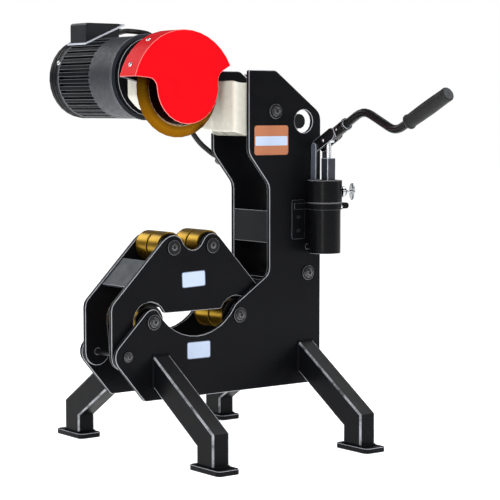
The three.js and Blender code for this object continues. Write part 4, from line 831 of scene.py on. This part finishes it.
def add_leg(corner, x, side):
    outline = leg_outline()
    count = len(outline)
    sides = (x - LEG_WIDTH / 2, x + LEG_WIDTH / 2)
    build = between(*([at(edge, side * y, z) for y, z in outline] for edge in sides))
    build.verts.ensure_lookup_table()
    build.edges.ensure_lookup_table()
    long = []
    for loop in (build.verts[:count], build.verts[count:]):
        for i in TUBE_RUNS:
            j = (i + 1) % count
            long.append(next(e for e in loop[i].link_edges if e.other_vert(loop[i]) == loop[j]))
    bmesh.ops.recalc_face_normals(build, faces=build.faces)
    bmesh.ops.bevel(build, geom=long, offset=TUBE_CORNER * MM, segments=CORNER_SEGMENTS, profile=0.5,
                    affect="EDGES", clamp_overlap=False, material=1)
    leg = piece_from("tube_" + corner, build, "frame_black", "frame")
    # Painted highlight: the tube's rounded corners take bright streaks
    leg.data.materials.append(MATERIALS["edge_highlight_streaks"])
    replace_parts(leg, "leg_" + corner)
    weld_round(corner, x, side)


def bead(name, points):
    """A weld bead with its small ripples, closed round its points."""
    path = along([*points, points[0]], BEAD_SPACING * MM)

    def size(i):
        return BEAD_RADIUS * MM * (1.0 + sum(share * math.sin(i * turn) for share, turn in RIPPLES))

    piece = piece_from(name, swept(path, size, BEAD_SIDES, closed=True), "frame_black", "frame")


def weld_round(corner, x, side):
    """The beads where a leg meets its foot and its side plate."""
    left, right = x - LEG_WIDTH / 2, x + LEG_WIDTH / 2
    (inner, floor), (outer, _), _, (start, high), (_, low), _ = leg_outline()
    z = floor + BEAD_RISE
    bead("bead_foot_" + corner, [
        at(left, side * inner, z), at(right, side * inner, z),
        at(right, side * outer, z), at(left, side * outer, z)])
    y = start + BEAD_RISE
    bead("bead_plate_" + corner, [
        at(left, side * y, low), at(right, side * y, low),
        at(right, side * y, high), at(left, side * y, high)])


def add_legs():
    for plate, side in (("near", -1), ("far", 1)):
        for end, x in (("front", LEG_FRONT_X), ("rear", LEG_REAR_X)):
            add_leg(f"{plate}_{end}", x, side)


add_legs()


# Screw heads on the shafts

FRAME_SHAFTS = ("arm_pivot_shaft", "cylinder_pin", "roller_shaft_front", "roller_shaft_rear")
SMALL_SHAFTS = ("cradle_hinge_shaft",)
CRADLE_SHAFTS = ("cradle_shaft_front", "cradle_shaft_rear")
LARGE_HEAD = dict(radius=8.0, height=2.4, key=6.6)
SMALL_HEAD = dict(radius=6.0, height=2.0, key=5.0)


def shaft_heads():
    """Each shaft has a socket screw at both ends, on the side plates or on the cradle plates."""
    groups = ((FRAME_SHAFTS, "frame", LARGE_HEAD), (SMALL_SHAFTS, "frame", SMALL_HEAD),
              (CRADLE_SHAFTS, "cradle", LARGE_HEAD))
    for names, body, size in groups:
        for node in names:
            low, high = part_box(node)
            x, z = (low.x + high.x) / 2, (low.z + high.z) / 2
            socket_screw(node + "_screw_near", Vector((x, low.y, z)), TO_NEAR, body, **size)
            socket_screw(node + "_screw_far", Vector((x, high.y, z)), TO_FAR, body, **size)


shaft_heads()


# Hand pump: tank, head and the strap that holds them

TANK_LOW, TANK_RADIUS = 427.0, 36.2
HEAD_LOW, HEAD_TOP, HEAD_RADIUS, HEAD_WALL, HEAD_FLOOR = 542.0, 593.0, 39.4, 3.0, 572.0
STRAP_LOW, STRAP_TOP, STRAP_RADIUS = 526.5, 540.5, 39.2
STRAP_MIDDLE, STRAP_HEIGHT = (STRAP_TOP + STRAP_LOW) / 2, STRAP_TOP - STRAP_LOW
# The strap's tab, web and ear: middle, size and corner radius, and their distances from the side plate
TAB_X, TAB_Z, TAB_WIDTH, TAB_HEIGHT, TAB_CORNER, TAB_LOW, TAB_HIGH = 81.0, 503.5, 38.0, 89.0, 5.0, 0.3, 5.3
WEB_X, WEB_WIDTH, WEB_CORNER, WEB_LOW, WEB_HIGH = 100.0, 62.0, 1.0, 1.0, 6.3
EAR_X, EAR_WIDTH, EAR_CORNER, EAR_HALF = 174.0, 46.0, 6.6, 6.0
# The valve's boss: radius and distance from the pump's axis
VALVE_Z, VALVE_TURN = 566.0, math.radians(-26.0)
VALVE_PROFILE = [(10.0, 39.8), (12.2, 40.6), (12.2, 46.0), (10.0, 48.6), (6.6, 49.4), (6.2, 50.9)]
STRAP_SCREW_X, STRAP_SCREW_Y, STRAP_SCREW_AXIS = 150.6, -147.3, (0.5, -0.87, 0)


def pump_part(name, build, node, width=0.8, edge="edge_highlight_black", material="tank_black"):
    piece = piece_from(name, build, material, "frame", smooth=False)
    # The piece's bevelled edges take a painted highlight
    with_edge_highlight(piece, edge, width)
    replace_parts(piece, node)


def upright_rings(profile):
    """A closed turned body on the pump's axis, from pairs of radius and height above the floor."""
    return turned(profile, at(PUMP_X, PUMP_Y, 0.0), UPWARDS)


def pump_strap():
    """The hoop round the pump, its tab and web on the side plate, and the ear behind."""
    hoop = upright_rings([(STRAP_RADIUS, STRAP_LOW), (STRAP_RADIUS, STRAP_TOP)])
    tab = moved(rounded_outline(TAB_WIDTH, TAB_HEIGHT, TAB_CORNER), TAB_X, TAB_Z)
    web = moved(rounded_outline(WEB_WIDTH, STRAP_HEIGHT, WEB_CORNER), WEB_X, STRAP_MIDDLE)
    ear = moved(rounded_outline(EAR_WIDTH, STRAP_HEIGHT, EAR_CORNER), EAR_X, STRAP_MIDDLE)
    return gathered([
        hoop, upright(tab, -PLATE_OUTER - TAB_HIGH, -PLATE_OUTER - TAB_LOW),
        upright(web, -PLATE_OUTER - WEB_HIGH, -PLATE_OUTER - WEB_LOW),
        upright(ear, PUMP_Y - EAR_HALF, PUMP_Y + EAR_HALF)])


def add_pump():
    tank = [(TANK_RADIUS, TANK_LOW), (TANK_RADIUS, HEAD_LOW - SEAT_GAP)]
    pump_part("pump_tank_skin", upright_rings(tank), "pump_tank")
    wall = HEAD_RADIUS - HEAD_WALL
    head = [(HEAD_RADIUS, HEAD_LOW), (HEAD_RADIUS, HEAD_TOP), (wall, HEAD_TOP), (wall, HEAD_FLOOR)]
    pump_part("pump_head_skin", upright_rings(head), "pump_head")
    pump_part("pump_strap", pump_strap(), "pump_clamp", 0.5, "edge_highlight_dim", "frame_black")
    outwards = (math.cos(VALVE_TURN), math.sin(VALVE_TURN), 0)
    valve = turned(VALVE_PROFILE, at(PUMP_X, PUMP_Y, VALVE_Z), outwards)
    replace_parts(piece_from("valve_skin", valve, "chrome", "frame"), "release_valve")
    dome("strap_screw", at(STRAP_SCREW_X, STRAP_SCREW_Y, STRAP_MIDDLE), STRAP_SCREW_AXIS, "frame", 3.6, 2.0)


add_pump()


# Pins in the handle's socket

SOCKET_CHEEK_X, SOCKET_Y, SOCKET_Z, SOCKET_LIFT = 117.0, -93.0, 669.5, math.radians(28.5)
# Name, distance along the socket and radius
SOCKET_PINS = [("socket_pin", 29.0, 4.6), ("socket_screw", 82.0, 3.0)]
PIN_RISE = 1.4


def add_socket_pins():
    """A pin end and a screw on the cheek that faces the wheel."""
    for name, reach, radius in SOCKET_PINS:
        y = SOCKET_Y - reach * math.cos(SOCKET_LIFT)
        z = SOCKET_Z + reach * math.sin(SOCKET_LIFT)
        dome(name, at(SOCKET_CHEEK_X, y, z), (-1, 0, 0), "handle", radius, PIN_RISE)


add_socket_pins()


# Handle grip

GRIP_START, GRIP_END, GRIP_RADIUS = (130.0, -391.2, 725.5), (130.0, -512.0, 785.5), 16.4
GRIP_LIP, GRIP_TAIL, GRIP_CROWN, GRIP_STEPS = 6.0, 3.0, 1.2, 12
GRIP_HOLE, GRIP_HOLE_DEPTH = 2.6, 4.0
CAP_HOLE = 3.0


def grip_profile(length):
    """The grip from its lip over its slightly crowned run to the hole in its end."""
    r = GRIP_RADIUS
    profile = [(r - 2.0, 0.0), (r + 0.6, 1.0), (r + 0.6, 4.5), (r - 1.4, GRIP_LIP)]
    run = length - GRIP_LIP - GRIP_TAIL
    for k in range(1, GRIP_STEPS):
        crown = GRIP_CROWN * math.sin(math.pi * k / GRIP_STEPS)
        profile.append((r - GRIP_CROWN + crown, GRIP_LIP + run * k / GRIP_STEPS))
    profile += [(r - 0.6, length - GRIP_TAIL), (r - 1.6, length - 0.8), (r - 3.4, length)]
    return profile + [(GRIP_HOLE, length), (GRIP_HOLE, length - GRIP_HOLE_DEPTH)]


def add_grip():
    start = at(*GRIP_START)
    axis = at(*GRIP_END) - start
    length = axis.length / MM
    r = GRIP_RADIUS
    grip = piece_from("grip_skin", turned(grip_profile(length), start, axis), "grip_rubber", "handle")
    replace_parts(grip, "handle_grip")
    collar = [(r + 0.7, 1.2), (r + 0.9, 1.8), (r + 0.7, 2.4)]
    piece_from("grip_line", turned(collar, start, axis), "grip_cap", "handle")
    cap = [(r - 4.0, length - 0.2), (r - 4.2, length + 0.3)]
    cap += [(CAP_HOLE, length + 0.3), (CAP_HOLE, length - 3.0)]
    piece_from("grip_end", turned(cap, start, axis), "grip_cap", "handle")


add_grip()


# Bare plates on the near side

BORDER_WIDTH, BORDER_THICKNESS, BORDER_CORNER = 1.5, 0.4, 4.5
BARE_THICKNESS, BARE_CORNER = 0.3, 3.5
ARM_PLATE = dict(centre=(7.0, -PLATE_OUTER, 684.0), size=(96.0, 66.0), radius=6.0, thickness=0.5)
ARM_BAND = dict(centre=(7.0, -PLATE_OUTER - 0.5, 682.5), size=(91.0, 21.0), radius=1.5, thickness=0.3)
BED_PLATE_X, BED_PLATE_Z, BED_PLATE_SIZE = -195.0, 227.0, (60.0, 35.0)
CRADLE_PLATE_X, CRADLE_PLATE_Z, CRADLE_PLATE_SIZE = -197.5, 382.0, (60.0, 32.0)
CRADLE_PLATE_TILT = math.radians(2.0)


def bordered_plate(name, centre, size, body, tilt=0.0):
    """A bare plate on a slightly larger dark border."""
    x, y, z = centre
    border = (size[0] + 2 * BORDER_WIDTH, size[1] + 2 * BORDER_WIDTH)
    flat_plate(name + "_border", centre, border, BORDER_CORNER, BORDER_THICKNESS, "plate_border", body, tilt)
    raised = (x, y - BORDER_THICKNESS, z)
    flat_plate(name, raised, size, BARE_CORNER, BARE_THICKNESS, "plate_white", body, tilt)


def add_plates():
    flat_plate("plate_arm", material="plate_orange", body="frame", **ARM_PLATE)
    flat_plate("band_arm", material="plate_white", body="frame", **ARM_BAND)
    bordered_plate("plate_bed", (BED_PLATE_X, -PLATE_OUTER, BED_PLATE_Z), BED_PLATE_SIZE, "frame")
    face = (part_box("cradle_plate_near")[0].y - ORIGIN.y) / MM
    bordered_plate("plate_cradle", (CRADLE_PLATE_X, face, CRADLE_PLATE_Z), CRADLE_PLATE_SIZE, "cradle",
                   CRADLE_PLATE_TILT)


add_plates()


# Painted highlight along the terminal box's sloping seam: a pale band over the lip

BOX_FRONT, BOX_REAR, BOX_NEAR, BOX_FAR = -257.0, -154.0, 283.0, 351.0
SEAM_LOW, SEAM_RISE, BOX_LIP, LIP_THICKNESS = 908.0, 44.0, 5.0, 3.5
# How far the pale highlight band stands out round the lip, below it and beneath its upper face
LIP_HIGHLIGHT_PROUD, LIP_HIGHLIGHT_BELOW, LIP_HIGHLIGHT_DROP, LIP_HIGHLIGHT_EDGE = 0.4, 0.7, 0.3, 0.7


def add_lip_highlight():
    """A pale band that covers the lip all round, a painted highlight for the light that the lip catches."""
    slope = math.atan2(SEAM_RISE, BOX_REAR - BOX_FRONT)
    depth = LIP_THICKNESS / math.cos(slope) + LIP_HIGHLIGHT_BELOW
    x0, x1 = BOX_FRONT - BOX_LIP - LIP_HIGHLIGHT_PROUD, BOX_REAR + LIP_HIGHLIGHT_PROUD
    y0, y1 = BOX_NEAR - BOX_LIP - LIP_HIGHLIGHT_PROUD, BOX_FAR + BOX_LIP + LIP_HIGHLIGHT_PROUD
    corners = ((x0, y0), (x1, y0), (x1, y1), (x0, y1))

    def seam(x):
        return SEAM_LOW + (x - BOX_FRONT) * math.tan(slope)

    build = between(*([at(x, y, seam(x) - drop) for x, y in corners] for drop in (depth, LIP_HIGHLIGHT_DROP)))
    # The band is painted pale as a highlight
    piece_from("seam_lip_highlight", build, "lip_highlight_grey", "arm", bevel=LIP_HIGHLIGHT_EDGE)


add_lip_highlight()


# Fan cover's beads and the bearing shield in front of it

RING_STEPS = 64
COVER_RADIUS, COVER_SKIN = 91.9, 91.8
# The lip ring takes the grey painted highlight
COVER_BEADS = [("cover_lip_highlight", 341.6, "edge_highlight_grey"), ("cover_bead_0", 356.0, "fan_cover_grey"),
               ("cover_bead_1", 368.0, "fan_cover_grey")]
COVER_BEAD_RADIUS, COVER_BEAD_SIDES = 1.1, 8
SHIELD_OUTER, SHIELD_HOLE, SHIELD_FRONT, SHIELD_BACK = 89.2, 16.0, 341.0, 344.0


def motor_ring(radius, y):
    """Points on a circle round the motor's axis."""
    turns = (2 * math.pi * i / RING_STEPS for i in range(RING_STEPS))
    return [at(MOTOR_X + radius * math.cos(turn), y, MOTOR_Z + radius * math.sin(turn)) for turn in turns]


def add_cover_beads():
    """Two rolled beads round the sheet cover, and the lip where it meets the fins, painted pale as a
    highlight.
    """
    for name, y, material in COVER_BEADS:
        ring = swept(motor_ring(COVER_RADIUS, y), COVER_BEAD_RADIUS * MM, COVER_BEAD_SIDES, closed=True)
        piece_from(name, ring, material, "arm")


def add_rear_shield():
    """The bearing shield at the motor's rear, round the shaft and behind the fins' ends."""
    build = bmesh.new()
    corners = ((SHIELD_OUTER, SHIELD_FRONT), (SHIELD_OUTER, SHIELD_BACK), (SHIELD_HOLE, SHIELD_BACK),
               (SHIELD_HOLE, SHIELD_FRONT))
    rings = [[build.verts.new(point) for point in motor_ring(radius, y)] for radius, y in corners]
    for low, high in zip(rings, rings[1:] + rings[:1]):
        skin(build, low, high)
    piece_from("rear_shield", build, "fin_grey", "arm", smooth=False)


add_cover_beads()
add_rear_shield()


# Small screws

# Axis of the guard's rim beside the wheel's, its radius and the distance where its screws sit
RIM_SHIFT_X, RIM_SHIFT_Z, RIM_RADIUS, RIM_SCREW_Y = -7.0, -9.5, 136.0, -8.0
RIM_SCREWS, RIM_SCREW_SIZE = (154.5, 124.0), (5.6, 3.0)
COVER_SCREW_Y, COVER_SCREWS, COVER_SCREW_SIZE = 350.0, (157.0, 37.0, 277.0), (6.0, 3.0)
CLAMP_SCREW_X, CLAMP_SCREW_Y, CLAMP_SCREWS_Z = 81.2, -77.3, (509.6, 479.2)
PLATE_NUT_X, PLATE_NUT_Z = -125.7, 176.2
PLATE_SCREW_X, PLATE_SCREW_Z = 37.0, 830.0


def round_screws(name, axis, radius, y, angles, size):
    """Dome screws round an axis along Y. axis is its x and z, size is the dome's radius and height."""
    for i, degrees in enumerate(angles):
        angle = math.radians(degrees)
        out = (math.cos(angle), 0, math.sin(angle))
        dome(f"{name}_{i}", at(axis[0] + radius * out[0], y, axis[1] + radius * out[2]), out, "arm", *size)


def small_screws():
    """Guard rim and fan cover screws, clamp tab screws, and a nut and a screw inside the far plate."""
    rim = (WHEEL_X + RIM_SHIFT_X, WHEEL_Z + RIM_SHIFT_Z)
    round_screws("guard_screw", rim, RIM_RADIUS, RIM_SCREW_Y, RIM_SCREWS, RIM_SCREW_SIZE)
    for i, z in enumerate(CLAMP_SCREWS_Z):
        spot = at(CLAMP_SCREW_X, CLAMP_SCREW_Y, z)
        socket_screw(f"clamp_screw_{i}", spot, TO_NEAR, "frame", 5.2, 2.6, 4.0, "black_steel")
    spot = at(PLATE_NUT_X, PLATE_INNER, PLATE_NUT_Z)
    hex_nut("plate_nut_0", spot, TO_NEAR, "frame", flats=15.0, height=8.0, bolt=4.0, material="black_steel")
    spot = at(PLATE_SCREW_X, PLATE_INNER, PLATE_SCREW_Z)
    socket_screw("plate_screw", spot, TO_NEAR, "frame", 5.0, 2.5, 4.0, "zinc")
    motor = (MOTOR_X, MOTOR_Z)
    round_screws("cover_screw", motor, COVER_SKIN, COVER_SCREW_Y, COVER_SCREWS, COVER_SCREW_SIZE)


small_screws()


# Floor and light

FLOOR_REACH, FLOOR_TONE, FLOOR_GLOW = 14.0, (0.90, 0.90, 0.90), 1.02
WORLD_TINT, WORLD_STRENGTH = (0.95, 0.97, 1.0, 1.0), 0.2
# Name, place, the point that it shines at, width and height in metres, and power in watts
LIGHTS = [
    ("key", (-2.7, -1.9, 2.7), (0, 0, 0.5), (1.5, 1.5), 54),
    ("left", (-3.4, -2.5, 0.5), (0, 0, 0.45), (0.9, 1.6), 26),
    ("front", (-0.8, -3.6, 2.2), (0, 0, 0.45), (2.6, 1.2), 26),
    ("top", (1.7, -0.3, 3.0), (0, 0, 0.4), (2.0, 1.8), 50),
    ("right", (3.2, -1.6, 1.4), (0, 0, 0.5), (1.0, 1.8), 15),
    ("back", (-1.0, 3.4, 2.4), (0, 0, 0.5), (2.4, 1.6), 30),
]


def floor_finish():
    """A plain pale floor that glows a little, so that it stays white."""
    finish = Finish("floor_pale", FLOOR_TONE, 0.9, specular=0.1)
    finish.shade(finish.noise(0.8, 2.0), 0.01)
    finish.set("Emission Color", (*FLOOR_TONE, 1.0))
    finish.set("Emission Strength", FLOOR_GLOW)
    return finish.material


def add_floor():
    mesh = bpy.data.meshes.new("floor")
    corners = [(u * FLOOR_REACH, v * FLOOR_REACH, 0) for u, v in ((-1, -1), (1, -1), (1, 1), (-1, 1))]
    mesh.from_pydata(corners, [], [(0, 1, 2, 3)])
    mesh.materials.append(floor_finish())
    floor = bpy.data.objects.new("floor", mesh)
    bpy.context.scene.collection.objects.link(floor)


def add_light(name, where, aim, size, power):
    light = bpy.data.lights.new(name, "AREA")
    light.shape = "RECTANGLE"
    light.size, light.size_y = size
    light.energy = power
    holder = bpy.data.objects.new(name, light)
    holder.location = where
    holder.rotation_euler = (Vector(aim) - Vector(where)).to_track_quat("-Z", "Y").to_euler()
    bpy.context.scene.collection.objects.link(holder)


def add_world():
    """Dim studio surroundings that the camera itself sees as white."""
    world = bpy.data.worlds.new("studio")
    world.use_nodes = True
    tree = world.node_tree
    background = tree.nodes["Background"]
    background.inputs["Color"].default_value = WORLD_TINT
    background.inputs["Strength"].default_value = WORLD_STRENGTH
    seen = tree.nodes.new("ShaderNodeBackground")
    seen.inputs["Color"].default_value = (1.0, 1.0, 1.0, 1.0)
    seen.inputs["Strength"].default_value = 1.0
    rays = tree.nodes.new("ShaderNodeLightPath")
    mix = tree.nodes.new("ShaderNodeMixShader")
    tree.links.new(rays.outputs["Is Camera Ray"], mix.inputs["Fac"])
    tree.links.new(background.outputs["Background"], mix.inputs[1])
    tree.links.new(seen.outputs["Background"], mix.inputs[2])
    tree.links.new(mix.outputs["Shader"], tree.nodes["World Output"].inputs["Surface"])
    bpy.context.scene.world = world


add_floor()
add_world()
for studio_light in LIGHTS:
    add_light(*studio_light)
bpy.context.scene.view_settings.view_transform = "Standard"
